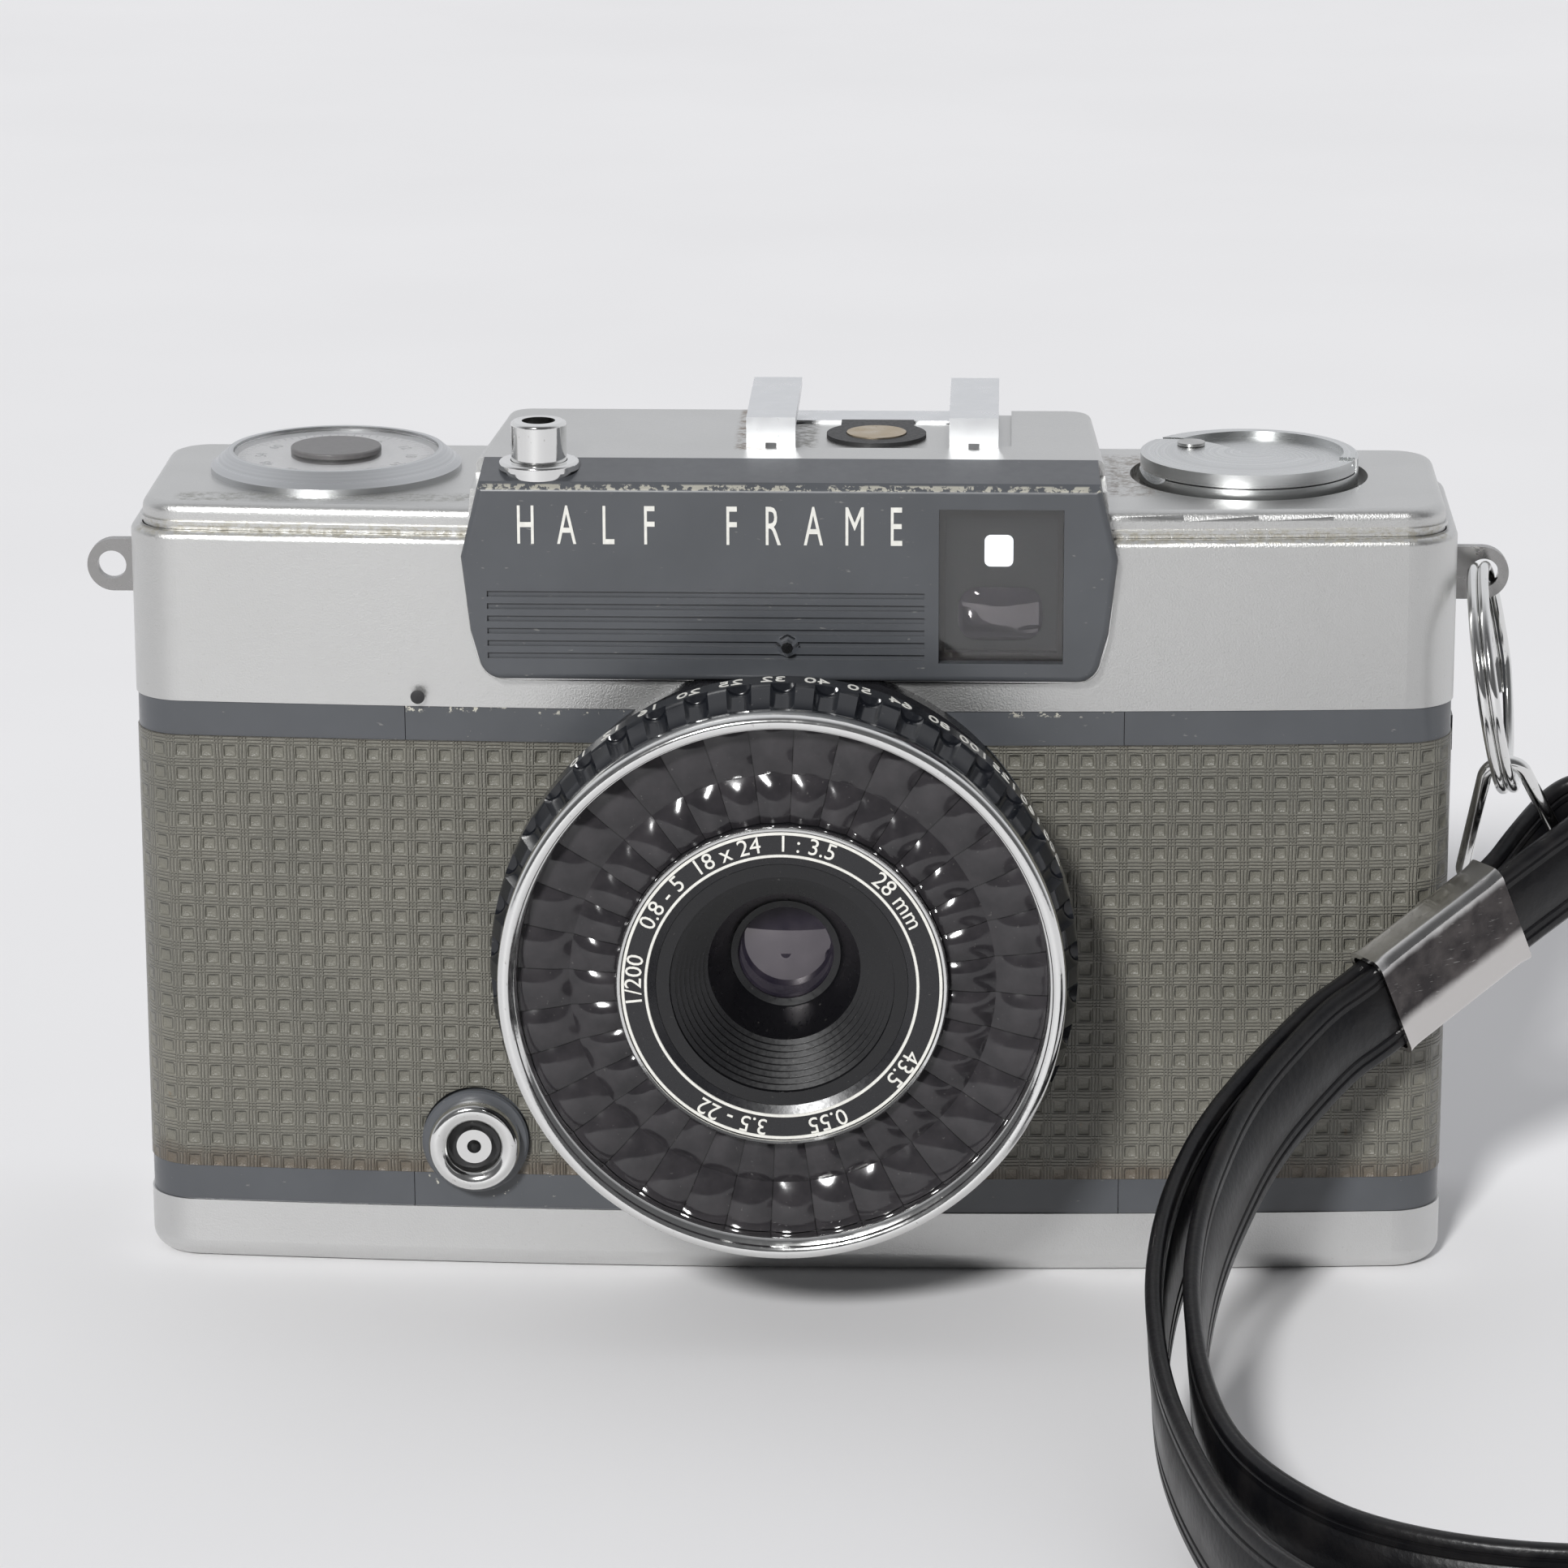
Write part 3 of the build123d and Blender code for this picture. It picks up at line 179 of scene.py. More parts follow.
# ------------------------------------------------------------ materials
def satin_metal(name, color=(0.63, 0.63, 0.62), roughness=0.36, grime=()):
    """Satin plate: fine grain, faint stains, and grime where boxes in (x, y, z) say it gathers."""
    look = Look(name, color, 1.0, roughness)
    grain = look.noise(7.0, 2.0)
    patch = look.noise(0.12, 4.0)
    speck = look.span(look.noise(3.2, 1.0), 0.73, 0.78)
    tone = look.mix(look.span(patch, 0.35, 0.7), color, tuple(c * 0.97 for c in color))
    tone = look.mix(look.mul(speck, 0.15), tone, (0.3, 0.29, 0.27))
    rough = look.add(look.span(patch, 0.3, 0.7, roughness - 0.01, roughness + 0.02),
                     look.span(grain, 0.2, 0.8, -0.05, 0.05))
    x, y, z = look.axes()
    for (x0, x1), (y0, y1), (z0, z1), soft, amount, colour in grime:
        mask = look.mul(look.band(x, x0, x1, soft), look.band(y, y0, y1, soft))
        mask = look.mul(mask, look.band(z, z0, z1, soft))
        mask = look.mul(mask, look.span(look.noise(1.6, 5.0, rough=0.7), 0.42, 0.62))
        mask = look.mul(mask, amount)
        tone = look.mix(mask, tone, colour)
        rough = look.add(rough, look.mul(mask, 0.35))
    look.set(**{"Base Color": tone, "Roughness": rough})
    look.bump(grain, 0.4, 0.00006)
    return look.mat


def chrome(name, color=(0.8, 0.8, 0.79), roughness=0.09, wear=0.5):
    look = Look(name, color, 1.0, roughness)
    smudge = look.noise(0.5, 5.0)
    pits = look.span(look.noise(4.0, 2.0), 0.68, 0.76)
    look.set(**{
        "Base Color": look.mix(look.mul(pits, wear), color, (0.25, 0.23, 0.2)),
        "Roughness": look.add(look.span(smudge, 0.3, 0.75, roughness * 0.7, roughness * 1.9),
                              look.mul(pits, 0.3 * wear)),
    })
    look.bump(look.noise(1.4, 3.0), 0.08, 0.00008)
    return look.mat


def machined(name, color=(0.66, 0.67, 0.68), roughness=0.3, centre=None):
    """Turned alloy with faint rings round an upright axis."""
    look = Look(name, color, 1.0, roughness)
    x, y, z = look.axes()
    if centre:
        dx = look.math("SUBTRACT", x, centre[0])
        dy = look.math("SUBTRACT", y, centre[1])
        radius = look.math("SQRT", look.add(look.mul(dx, dx), look.mul(dy, dy)))
        rings = look.noise(5.0, 2.0, vector=look.join(radius, look.mul(z, 0.2), 0.0))
    else:
        rings = look.noise(6.0, 2.0, stretch=(0.2, 0.2, 2.0))
    fine = look.noise(6.0, 2.0)
    tone = look.mix(look.span(rings, 0.35, 0.65), color, tuple(c * 0.9 for c in color))
    rough = look.span(rings, 0.3, 0.7, roughness - 0.05, roughness + 0.08)
    look.set(**{"Base Color": tone, "Roughness": rough})
    look.bump(look.add(look.mul(rings, 0.7), look.mul(fine, 0.5)), 0.14, 0.00005)
    return look.mat


ENAMEL_TONE = (0.062, 0.066, 0.073)


def enamel(name, chips=(), dust=0.3):
    """Baked grey enamel with bare metal showing where boxes in (x, y, z) say it has chipped."""
    look = Look(name, ENAMEL_TONE, 0.0, 0.34, **{"Coat_Weight": 0.25, "Coat_Roughness": 0.2})
    peel = look.noise(1.1, 3.0)
    broad = look.noise(0.15, 3.0)
    tone = look.mix(look.span(broad, 0.3, 0.7), ENAMEL_TONE, tuple(c * 1.18 for c in ENAMEL_TONE))
    lint = look.mul(look.span(look.noise(2.6, 2.0, stretch=(0.35, 1, 1)), 0.72, 0.78), dust)
    tone = look.mix(lint, tone, (0.42, 0.41, 0.38))
    bare = None
    x, y, z = look.axes()
    for (x0, x1), (y0, y1), (z0, z1), soft, level in chips:
        area = look.mul(look.band(y, y0, y1, soft), look.band(z, z0, z1, soft))
        area = look.mul(look.band(x, x0, x1, soft), area)
        spots = look.span(look.noise(1.3, 6.0, rough=0.68), level, level + 0.03)
        here = look.mul(area, spots)
        bare = here if bare is None else look.math("MAXIMUM", bare, here)
    if bare is not None:
        tone = look.mix(bare, tone, (0.6, 0.58, 0.5))
        look.set(Metallic=look.mul(bare, 0.7))
    look.set(**{"Base Color": tone, "Roughness": look.span(peel, 0.2, 0.8, 0.28, 0.42)})
    look.bump(peel, 0.1, 0.00008)
    return look.mat


LEATHER_TONE = (0.19, 0.182, 0.152)
CORNER_X, CORNER_Y, CORNER_R = 49.55, -6.75, 4.4
DIMPLE = 1.97


def leatherette(name):
    """Embossed vinyl: square pads between double grid lines, following the body round its corners."""
    look = Look(name, LEATHER_TONE, 0.0, 0.46, **{"Coat_Weight": 0.2, "Coat_Roughness": 0.3})
    x, y, z = look.axes()
    ax = look.math("ABSOLUTE", x)
    past = look.math("MAXIMUM", look.math("SUBTRACT", ax, CORNER_X), 0.0)
    ahead = look.math("MAXIMUM", look.math("SUBTRACT", CORNER_Y, y), 0.0)
    behind = look.math("MAXIMUM", look.math("SUBTRACT", y, CORNER_Y), 0.0)
    turn = look.math("ARCTAN2", past, look.add(ahead, 0.0001))
    inside = look.span(past, 0.0, 0.001)
    along = look.add(look.math("MINIMUM", ax, CORNER_X),
                     look.mul(inside, look.add(look.mul(turn, CORNER_R), behind)))
    wobble = look.noise(0.35, 3.0)
    u = look.add(look.add(along, look.mul(wobble, 0.25)), 0.35)
    v = look.add(z, look.mul(look.noise(0.3, 3.0), 0.2))

    def wave(coord):
        """A triangle wave: 0 in the middle of each pad's repeat, 1 at its ends."""
        turned = look.math("FRACT", look.math("DIVIDE", coord, DIMPLE))
        return look.mul(look.math("ABSOLUTE", look.math("SUBTRACT", turned, 0.5)), 2.0)

    du, dv = wave(u), wave(v)
    pad = look.mul(look.span(du, 0.40, 0.58, 1.0, 0.0, smooth=True),
                   look.span(dv, 0.40, 0.58, 1.0, 0.0, smooth=True))
    ridge_u = look.math("MAXIMUM", look.band(du, 0.66, 0.76, 0.05), look.span(du, 0.92, 0.99))
    ridge_v = look.math("MAXIMUM", look.band(dv, 0.66, 0.76, 0.05), look.span(dv, 0.92, 0.99))
    ridges = look.math("MAXIMUM", ridge_u, ridge_v)
    bowl = look.add(look.mul(du, du), look.mul(dv, dv))
    hollow = look.mul(pad, look.span(bowl, 0.0, 0.5, 1.0, 0.35))
    height = look.math("SUBTRACT", look.mul(ridges, 0.55), hollow)
    grain = look.noise(5.5, 3.0)
    height = look.add(height, look.mul(grain, 0.28))
    stain = look.noise(0.08, 4.0)
    tone = look.mix(look.span(stain, 0.35, 0.68), LEATHER_TONE, (0.15, 0.146, 0.124))
    # lighter along the ridges; the pad hollows are painted darker as painted shade in the dimples
    tone = look.mix(look.mul(ridges, 0.5), tone, (0.25, 0.24, 0.205))
    tone = look.mix(look.mul(pad, 0.35), tone, (0.11, 0.105, 0.082))
    # brown grime along the lower edge and a little along the upper one
    low = look.span(look.add(z, look.mul(look.noise(0.6, 4.0), 3.0)), 9.9, 12.2, 1.0, 0.0, smooth=True)
    high = look.span(look.add(z, look.mul(look.noise(0.9, 4.0), 1.2)), 45.6, 46.6, smooth=True)
    tone = look.mix(look.mul(low, 0.5), tone, (0.075, 0.042, 0.02))
    tone = look.mix(look.mul(high, 0.5), tone, (0.06, 0.045, 0.03))
    rust = look.mul(look.span(look.noise(0.9, 3.0), 0.7, 0.76), look.span(z, 8.0, 22.0, 1.0, 0.0))
    tone = look.mix(look.mul(rust, 0.6), tone, (0.17, 0.09, 0.03))
    look.set(**{"Base Color": tone, "Roughness": look.span(grain, 0.2, 0.8, 0.26, 0.42)})
    look.bump(height, 1.0, 0.0003)
    return look.mat


def black_finish(name, color=(0.012, 0.012, 0.014), roughness=0.28, grain=0.1, **more):
    look = Look(name, color, 0.0, roughness, **more)
    fine = look.noise(3.0, 3.0)
    dust = look.mul(look.span(look.noise(2.4, 2.0), 0.72, 0.77), 0.2)
    look.set(**{"Base Color": look.mix(dust, color, (0.25, 0.24, 0.22)),
                "Roughness": look.span(fine, 0.2, 0.8, roughness * 0.8, roughness * 1.25)})
    look.bump(fine, grain, 0.00006)
    return look.mat


def ferrule_steel(name):
    """Bright plating with a painted reflection: dark over the upper part of the band, bright below, and paler
    along the top edge.
    """
    look = Look(name, (0.3, 0.29, 0.285), 1.0, 0.16)
    x, y, z = look.axes()
    # height across the band, from the middle of the plane that the ferrule leans in
    plane = look.add(look.mul(x, LEAN_X), look.mul(y, LEAN_Y))
    rise = look.math("SUBTRACT", look.math("SUBTRACT", z, plane), LEAN_Z)
    mottle = look.noise(0.45, 4.0)
    height = look.add(look.mul(rise, 0.9), look.mul(look.math("SUBTRACT", mottle, 0.5), 0.7))
    # painted reflection: the upper part of the band is painted dark like a mirrored dark room, the lower part
    # bright like the mirrored floor
    dark = look.span(height, -2.0, -0.9, smooth=True)
    tone = look.mix(look.span(mottle, 0.35, 0.7), (0.05, 0.046, 0.047), (0.11, 0.1, 0.098))
    tone = look.mix(dark, (0.62, 0.6, 0.585), tone)
    crown = look.span(height, 3.2, 4.1, smooth=True)
    tone = look.mix(crown, tone, (0.7, 0.69, 0.68))
    scratch = look.span(look.noise(2.2, 3.0, stretch=(0.4, 0.4, 2.5)), 0.64, 0.72)
    look.set(**{"Base Color": look.mix(look.mul(scratch, 0.25), tone, (0.7, 0.69, 0.67)),
                "Roughness": look.span(mottle, 0.3, 0.7, 0.1, 0.24)})
    look.bump(look.noise(1.2, 4.0), 0.12, 0.0001)
    return look.mat


def cell_plastic(name):
    """Clear moulded cells over a black selenium cell: fine scratches and specks of dust."""
    look = Look(name, (0.02, 0.019, 0.021), 0.0, 0.1)
    x, y, z = look.axes()
    up = look.math("SUBTRACT", z, LENS_Z)
    radius = look.math("SQRT", look.add(look.mul(x, x), look.mul(up, up)))
    angle = look.math("ARCTAN2", up, x)
    turned = look.math("SUBTRACT", angle, CELL_START)
    step = look.math("FRACT", look.math("DIVIDE", turned, 2 * math.pi / CELLS))
    seam = look.mul(look.math("ABSOLUTE", look.math("SUBTRACT", step, 0.5)), 2.0)
    seam = look.span(seam, 0.955, 0.985)
    broad = look.noise(0.5, 3.0)
    dust = look.mul(look.span(look.noise(2.6, 2.0), 0.7, 0.76), 0.25)
    fall = look.span(radius, 12.8, 21.2, 0.0, 1.0)
    tone = look.mix(look.span(broad, 0.3, 0.7), (0.016, 0.015, 0.017), (0.034, 0.031, 0.034))
    tone = look.mix(look.mul(fall, 0.3), tone, (0.045, 0.042, 0.045))
    tone = look.mix(look.mul(seam, 0.75), tone, (0.004, 0.004, 0.004))
    tone = look.mix(dust, tone, (0.2, 0.19, 0.18))
    look.set(**{"Base Color": tone, "Roughness": look.span(broad, 0.3, 0.7, 0.07, 0.14)})
    look.bump(look.noise(1.3, 3.0), 0.05, 0.0001)
    return look.mat


def clear_glass(name, color=(1, 1, 1), roughness=0.02):
    look = Look(name, color, 0.0, roughness, **{"Transmission_Weight": 1.0, "IOR": 1.5})
    look.set(Roughness=look.span(look.noise(0.4, 4.0), 0.4, 0.75, roughness, roughness + 0.05))
    return look.mat


def strap_vinyl(name):
    look = Look(name, (0.006, 0.006, 0.007), 0.0, 0.36, **{"Specular_IOR_Level": 0.32})
    creases = look.cells(1.5)
    pores = look.noise(4.0, 4.0)
    wear = look.noise(0.25, 4.0)
    look.set(**{
        "Base Color": look.mix(look.span(wear, 0.45, 0.75), (0.005, 0.005, 0.006), (0.012, 0.011, 0.011)),
        "Roughness": look.span(wear, 0.3, 0.7, 0.28, 0.42),
    })
    look.bump(look.add(look.mul(creases, 0.8), look.mul(pores, 0.6)), 0.22, 0.00012)
    return look.mat


def coated_glass(name):
    """A coated lens face: dark behind, with a grey-violet mirror-like surface."""
    look = Look(name, (0.02, 0.018, 0.024), 0.0, 0.03, **{"Coat_Weight": 1.0, "Coat_Roughness": 0.02})
    haze = look.noise(0.5, 4.0)
    look.set(**{"Base Color": look.mix(look.span(haze, 0.4, 0.7), (0.018, 0.015, 0.024), (0.035, 0.03, 0.04)),
                "Specular IOR Level": 1.0})
    look.bsdf.inputs["Specular Tint"].default_value = (0.97, 0.87, 0.9, 1)
    return look.mat


def flat_paint(name, color, roughness=0.5, emission=0.0):
    look = Look(name, color, 0.0, roughness)
    fine = look.noise(2.0, 3.0)
    look.set(**{"Base Color": look.mix(look.span(fine, 0.3, 0.7), color, tuple(c * 0.88 for c in color))})
    look.bump(fine, 0.05, 0.00005)
    if emission:
        look.set(**{"Emission Color": (*color, 1), "Emission Strength": emission})
    return look.mat


M = {
    "cover": satin_metal("satin_cover", grime=(
        ((25.5, 30.0), (-6.0, 9.0), (62.0, 68.0), 0.8, 0.55, (0.16, 0.11, 0.07)),
        ((-50.0, -26.0), (-9.5, -6.5), (64.3, 65.6), 0.5, 0.45, (0.16, 0.16, 0.12)),
        ((-4.6, -2.2), (-6.5, 10.5), (67.5, 69.0), 0.4, 0.8, (0.2, 0.13, 0.08)),
        ((-0.5, 1.8), (-6.5, 10.5), (67.5, 68.3), 0.4, 0.6, (0.15, 0.14, 0.11)),
        ((-54.0, 54.0), (-14.0, -9.0), (62.2, 63.2), 0.25, 0.5, (0.35, 0.31, 0.2)),
    )),
    "base": satin_metal("satin_base", (0.66, 0.66, 0.655), 0.4),
    "chrome": chrome("bright_chrome"),
    "shoe": chrome("shoe_steel", (0.78, 0.79, 0.8), 0.3, 0.15),
    "steel": chrome("plain_steel", (0.5, 0.5, 0.49), 0.28, 0.3),
    "brass": chrome("contact_brass", (0.52, 0.44, 0.33), 0.38, 0.9),
    "alloy": machined("turned_alloy"),
    "counter_alloy": machined("counter_alloy", (0.6, 0.61, 0.62), 0.3, (-38.2, 2.7)),
    "rewind_alloy": machined("rewind_alloy", (0.66, 0.67, 0.67), 0.27, (37.4, 2.4)),
    "casting": satin_metal("casting_alloy", (0.35, 0.35, 0.36), 0.55),
    "enamel": enamel("grey_enamel"),
    "hood": enamel("hood_enamel", chips=(
        ((-25.0, 25.0), (-14.85, -14.3), (66.95, 67.3), 0.08, 0.5),
    )),
    "front": enamel("front_enamel", chips=(
        ((-31.4, -17.0), (-14.0, -12.0), (45.6, 48.4), 0.3, 0.66),
        ((-31.4, -19.0), (-14.0, -12.0), (5.2, 8.4), 0.3, 0.66),
        ((-31.4, 27.0), (-14.0, -12.0), (47.9, 48.45), 0.15, 0.6),
    )),
    "leather": leatherette("olive_leatherette"),
    "black": black_finish("black_metal"),
    "black_gloss": black_finish("black_gloss", (0.008, 0.009, 0.012), 0.16, 0.04),
    "black_matte": black_finish("black_plastic", (0.018, 0.018, 0.019), 0.5),
    "glass": clear_glass("clear_glass"),
    "coated": coated_glass("coated_glass"),
    "vinyl": strap_vinyl("strap_vinyl"),
    "white": flat_paint("white_mark", (0.78, 0.77, 0.72), 0.45),
    "dial": flat_paint("dial_face", (0.72, 0.71, 0.7), 0.35),
    "hub": flat_paint("hub_grey", (0.15, 0.145, 0.145), 0.4),
    "ink": flat_paint("dial_ink", (0.05, 0.05, 0.055), 0.5),
    "glow": flat_paint("finder_light", (0.9, 0.92, 0.96), 0.4, 0.85),
    "cell": cell_plastic("cell_window"),
    "ferrule": ferrule_steel("ferrule_steel"),
    "lug": chrome("lug_steel", (0.33, 0.325, 0.32), 0.24, 0.35),
    "stud": chrome("bright_stud", (0.86, 0.87, 0.89), 0.16, 0.1),
    "lens_black": black_finish("lens_black", (0.004, 0.004, 0.005), 0.3, 0.06),
    "inside": black_finish("finder_inside", (0.012, 0.009, 0.008), 0.55),
}

CAD_LOOKS = {
    "cover": ["top_cover"],
    "base": ["bottom_cover", "tripod_socket"],
    "casting": ["body_casting"],
    "steel": ["cover_screws", "release_spring", "crank_rivet", "rewind_sleeve", "rewind_fork", "hinge_pin",
              "shutter_blade_a", "shutter_blade_b"],
    "alloy": ["rewind_release", "film_sprocket", "advance_wheel"],
    "enamel": ["side_panel_left", "side_panel_right", "back_door"],
    "front": ["front_plate"],
    "hood": ["finder_hood"],
    "leather": ["leatherette_left", "leatherette_right", "door_leatherette"],
    "chrome": ["button_collar", "shutter_button", "front_bezel", "sync_socket", "sync_contact",
               "triangle_ring"],
    "lug": ["strap_lugs"],
    "shoe": ["shoe_rails"],
    "stud": ["index_stud"],
    "brass": ["shoe_contact"],
    "counter_alloy": ["counter_bezel"],
    "hub": ["counter_hub"],
    "rewind_alloy": ["rewind_knob", "rewind_crank"],
    "glass": ["finder_glass", "finder_eyepiece", "counter_crystal"],
    "dial": ["counter_dial"],
    "black": ["lens_mount", "name_ring", "pressure_plate", "shutter_case", "door_latch"],
    "lens_black": ["lens_barrel", "lens_cone"],
    "black_gloss": ["film_speed_ring"],
    "inside": ["finder_tube"],
    "black_matte": ["shoe_insulator", "takeup_spool", "selenium_cell"],
    "coated": ["front_element", "middle_element", "rear_element"],
    "cell": ["meter_window"],
    "vinyl": ["strap"],
}
for look_name, members in CAD_LOOKS.items():
    for member in members:
        for slot in nodes[member].material_slots:
            slot.material = M[look_name]


# ------------------------------------------------------------ mesh helpers
def mesh_piece(name, verts, faces, look, body="camera_body", smooth=40, replaces=()):
    """A mesh given in millimetres, riding on a body."""
    data = bpy.data.meshes.new(name)
    data.from_pydata([Vector(v) * MM for v in verts], [], faces)
    data.validate()
    data.update()
    obj = bpy.data.objects.new(name, data)
    bpy.context.scene.collection.objects.link(obj)
    data.materials.append(M[look])
    if smooth:
        data.shade_smooth()
        data.set_sharp_from_angle(angle=math.radians(smooth))
    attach(obj, body)
    if replaces:
        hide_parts(*replaces)
    return obj


def lathe(name, profile, look, segments=160, centre=(0.0, LENS_Z), body="camera_body",
          replaces=(), smooth=35, closed=True, radius_at=None):
    """Turns (radius, y) points about a front-to-back axis. radius_at may change a point's radius by angle."""
    verts, faces = [], []
    count = len(profile)
    for s in range(segments):
        angle = 2 * math.pi * s / segments
        for k, (r, y) in enumerate(profile):
            r = radius_at(r, y, angle) if radius_at else r
            verts.append((centre[0] + r * math.cos(angle), y, centre[1] + r * math.sin(angle)))
    steps = count if closed else count - 1
    for s in range(segments):
        t = (s + 1) % segments
        for k in range(steps):
            m = (k + 1) % count
            faces.append((s * count + k, s * count + m, t * count + m, t * count + k))
    return mesh_piece(name, verts, faces, look, body, smooth, replaces)


def tube(name, points, radius, look, sides, replaces=()):
    """A round wire with flat ends along points in millimetres."""
    pts = [Vector(p) for p in points]
    count = len(pts)
    verts, faces = [], []
    previous = None
    for i, p in enumerate(pts):
        tangent = (pts[min(i + 1, count - 1)] - pts[max(i - 1, 0)]).normalized()
        if previous is None:
            side = tangent.orthogonal().normalized()
        else:
            side = (previous - tangent * previous.dot(tangent)).normalized()
        previous = side
        other = tangent.cross(side)
        for k in range(sides):
            a = 2 * math.pi * k / sides
            verts.append(p + (side * math.cos(a) + other * math.sin(a)) * radius)
    for i in range(count - 1):
        for k in range(sides):
            m = (k + 1) % sides
            faces.append((i * sides + k, i * sides + m, (i + 1) * sides + m, (i + 1) * sides + k))
    faces.append(tuple(range(sides))[::-1])
    faces.append(tuple(range((count - 1) * sides, count * sides)))
    return mesh_piece(name, verts, faces, look, smooth=60, replaces=replaces)


# ------------------------------------------------------------ strap
STRAP_W, STRAP_T = 8.0, 1.3
FLOOR_BAND_Z = 4.05
# (x, y, z) along the strap: out of the ferrule, round its loop on the floor, back through the ferrule
# and round the triangle ring; two numbers mean a point in the leaning plane of the ferrule
ROUTE = (
    (53.2, -12.5), (48.6, -15.7), (46.0, -17.6), (43.6, -19.5, 23.1), (40.7, -22.8, 21.3),
    (37.6, -26.9, 19.3), (35.0, -30.5, 17.3), (32.9, -34.6, 15.4), (31.2, -39.6, 13.6),
    (30.0, -45.3, 11.9), (29.3, -51.9, 10.3), (29.3, -57.9, 8.9), (29.6, -63.5, 7.6),
    (30.4, -69.3, 6.6), (31.9, -76.0, 5.4), (34.2, -84.2, 4.5), (38.5, -92.5, 4.05),
    (45.0, -99.0, 4.05), (53.2, -103.6, 4.05), (63.2, -106.2, 4.05), (74.0, -106.8, 4.05),
    (85.0, -105.2, 4.05), (95.4, -101.0, 4.05), (103.0, -94.6, 4.05), (104.4, -87.4, 4.05),
    (99.6, -82.6, 4.05), (91.6, -81.8, 4.05), (82.2, -84.0, 4.05), (72.2, -86.8, 4.05),
    (62.0, -88.2, 4.05), (52.0, -87.4, 4.05), (43.6, -83.8, 4.2), (38.4, -78.8, 4.8),
    (35.2, -74.0, 5.6), (33.4, -68.9, 6.6), (32.5, -63.2, 7.8), (32.2, -57.9, 9.1), (32.2, -52.2, 10.5),
    (32.9, -45.9, 12.3), (34.0, -40.5, 14.0), (35.5, -35.8, 15.8), (37.1, -31.8, 17.7),
    (39.1, -28.1, 19.5), (42.0, -24.0, 21.5), (44.8, -20.6, 23.3), (47.0, -18.8), (49.6, -17.0),
    (59.1, -10.5), (62.4, -8.4), (65.6, -6.5), (67.6, -4.2), (66.9, -1.2), (64.0, -1.1), (60.6, -5.2),
    (58.0, -9.2), (53.6, -12.2),
)
LEAN_UP = Vector((-LEAN_X, -LEAN_Y, 1)).normalized()


def lean_height(x, y):
    return LEAN_Z + LEAN_X * x + LEAN_Y * y


def strap_route():
    return [p if len(p) == 3 else (*p, lean_height(*p)) for p in ROUTE]


def spline_points(route, resolution=10):
    """Points along the NURBS curve whose control points are the route, in millimetres."""
    data = bpy.data.curves.new("route", "CURVE")
    data.dimensions = "3D"
    spline = data.splines.new("NURBS")
    spline.points.add(len(route) - 1)
    for point, co in zip(spline.points, route):
        point.co = (*(Vector(co) * MM), 1)
    spline.order_u = 3
    spline.use_endpoint_u = True
    spline.resolution_u = resolution
    holder = bpy.data.objects.new("route", data)
    bpy.context.scene.collection.objects.link(holder)
    bpy.context.view_layer.update()
    evaluated = holder.evaluated_get(bpy.context.evaluated_depsgraph_get())
    line = bpy.data.meshes.new_from_object(evaluated)
    points = [v.co / MM for v in line.vertices]
    bpy.data.objects.remove(holder)
    bpy.data.meshes.remove(line)
    return points


def strap_section():
    """Half outline of the strap: rounded edges, with two grooves pressed beside each edge."""
    w, t = STRAP_W / 2, STRAP_T / 2
    side = [(-w + 0.02, 0.0), (-w + 0.1, t * 0.62), (-w + 0.42, t * 0.97), (-w + 0.9, t),
            (-w + 1.0, t - 0.16), (-w + 1.14, t - 0.16), (-w + 1.24, t), (-w + 1.62, t),
            (-w + 1.72, t - 0.13), (-w + 1.84, t - 0.13), (-w + 1.95, t - 0.01), (0.0, t + 0.04)]
    top = side + [(-a, b) for a, b in side[-2::-1]]
    return top + [(a, -b) for a, b in top[-2:0:-1]]


def make_strap():
    points = spline_points(strap_route())
    section = strap_section()
    verts, faces = [], []
    count, total = len(section), len(points)
    for i, p in enumerate(points):
        tangent = (points[min(i + 1, total - 1)] - points[max(i - 1, 0)]).normalized()
        # the strap stands on its edge on the floor and turns to lean with the ferrule above it
        lift = min(max((p.z - FLOOR_BAND_Z) / 17.0, 0.0), 1.0)
        lift = lift * lift * (3 - 2 * lift)
        up = Vector((0, 0, 1)).lerp(LEAN_UP, lift)
        up = (up - tangent * up.dot(tangent)).normalized()
        flat = tangent.cross(up)
        for a, b in section:
            verts.append(p + up * a + flat * b)
    for i in range(total - 1):
        for k in range(count):
            m = (k + 1) % count
            faces.append((i * count + k, i * count + m, (i + 1) * count + m, (i + 1) * count + k))
    faces.append(tuple(range(count))[::-1])
    faces.append(tuple(range((total - 1) * count, total * count)))
    return mesh_piece("wrist_strap", verts, faces, "vinyl", smooth=50,
                      replaces=("strap",)), points


strap, strap_path = make_strap()

# ------------------------------------------------------------ ferrule, split ring
FERRULE_LOW = Vector((47.8, -17.2, lean_height(47.8, -17.2)))
FERRULE_HIGH = Vector((58.6, -9.8, lean_height(58.6, -9.8)))
FERRULE_LENGTH = 13.6


def rounded_oblong(width, depth, corner, per_corner=6):
    points = []
    for sx, sy, start in ((1, 1, 0), (-1, 1, 90), (-1, -1, 180), (1, -1, 270)):
        for k in range(per_corner + 1):
            a = math.radians(start + 90 * k / per_corner)
            points.append((sx * (width / 2 - corner) + corner * math.cos(a),
                           sy * (depth / 2 - corner) + corner * math.sin(a)))
    return points


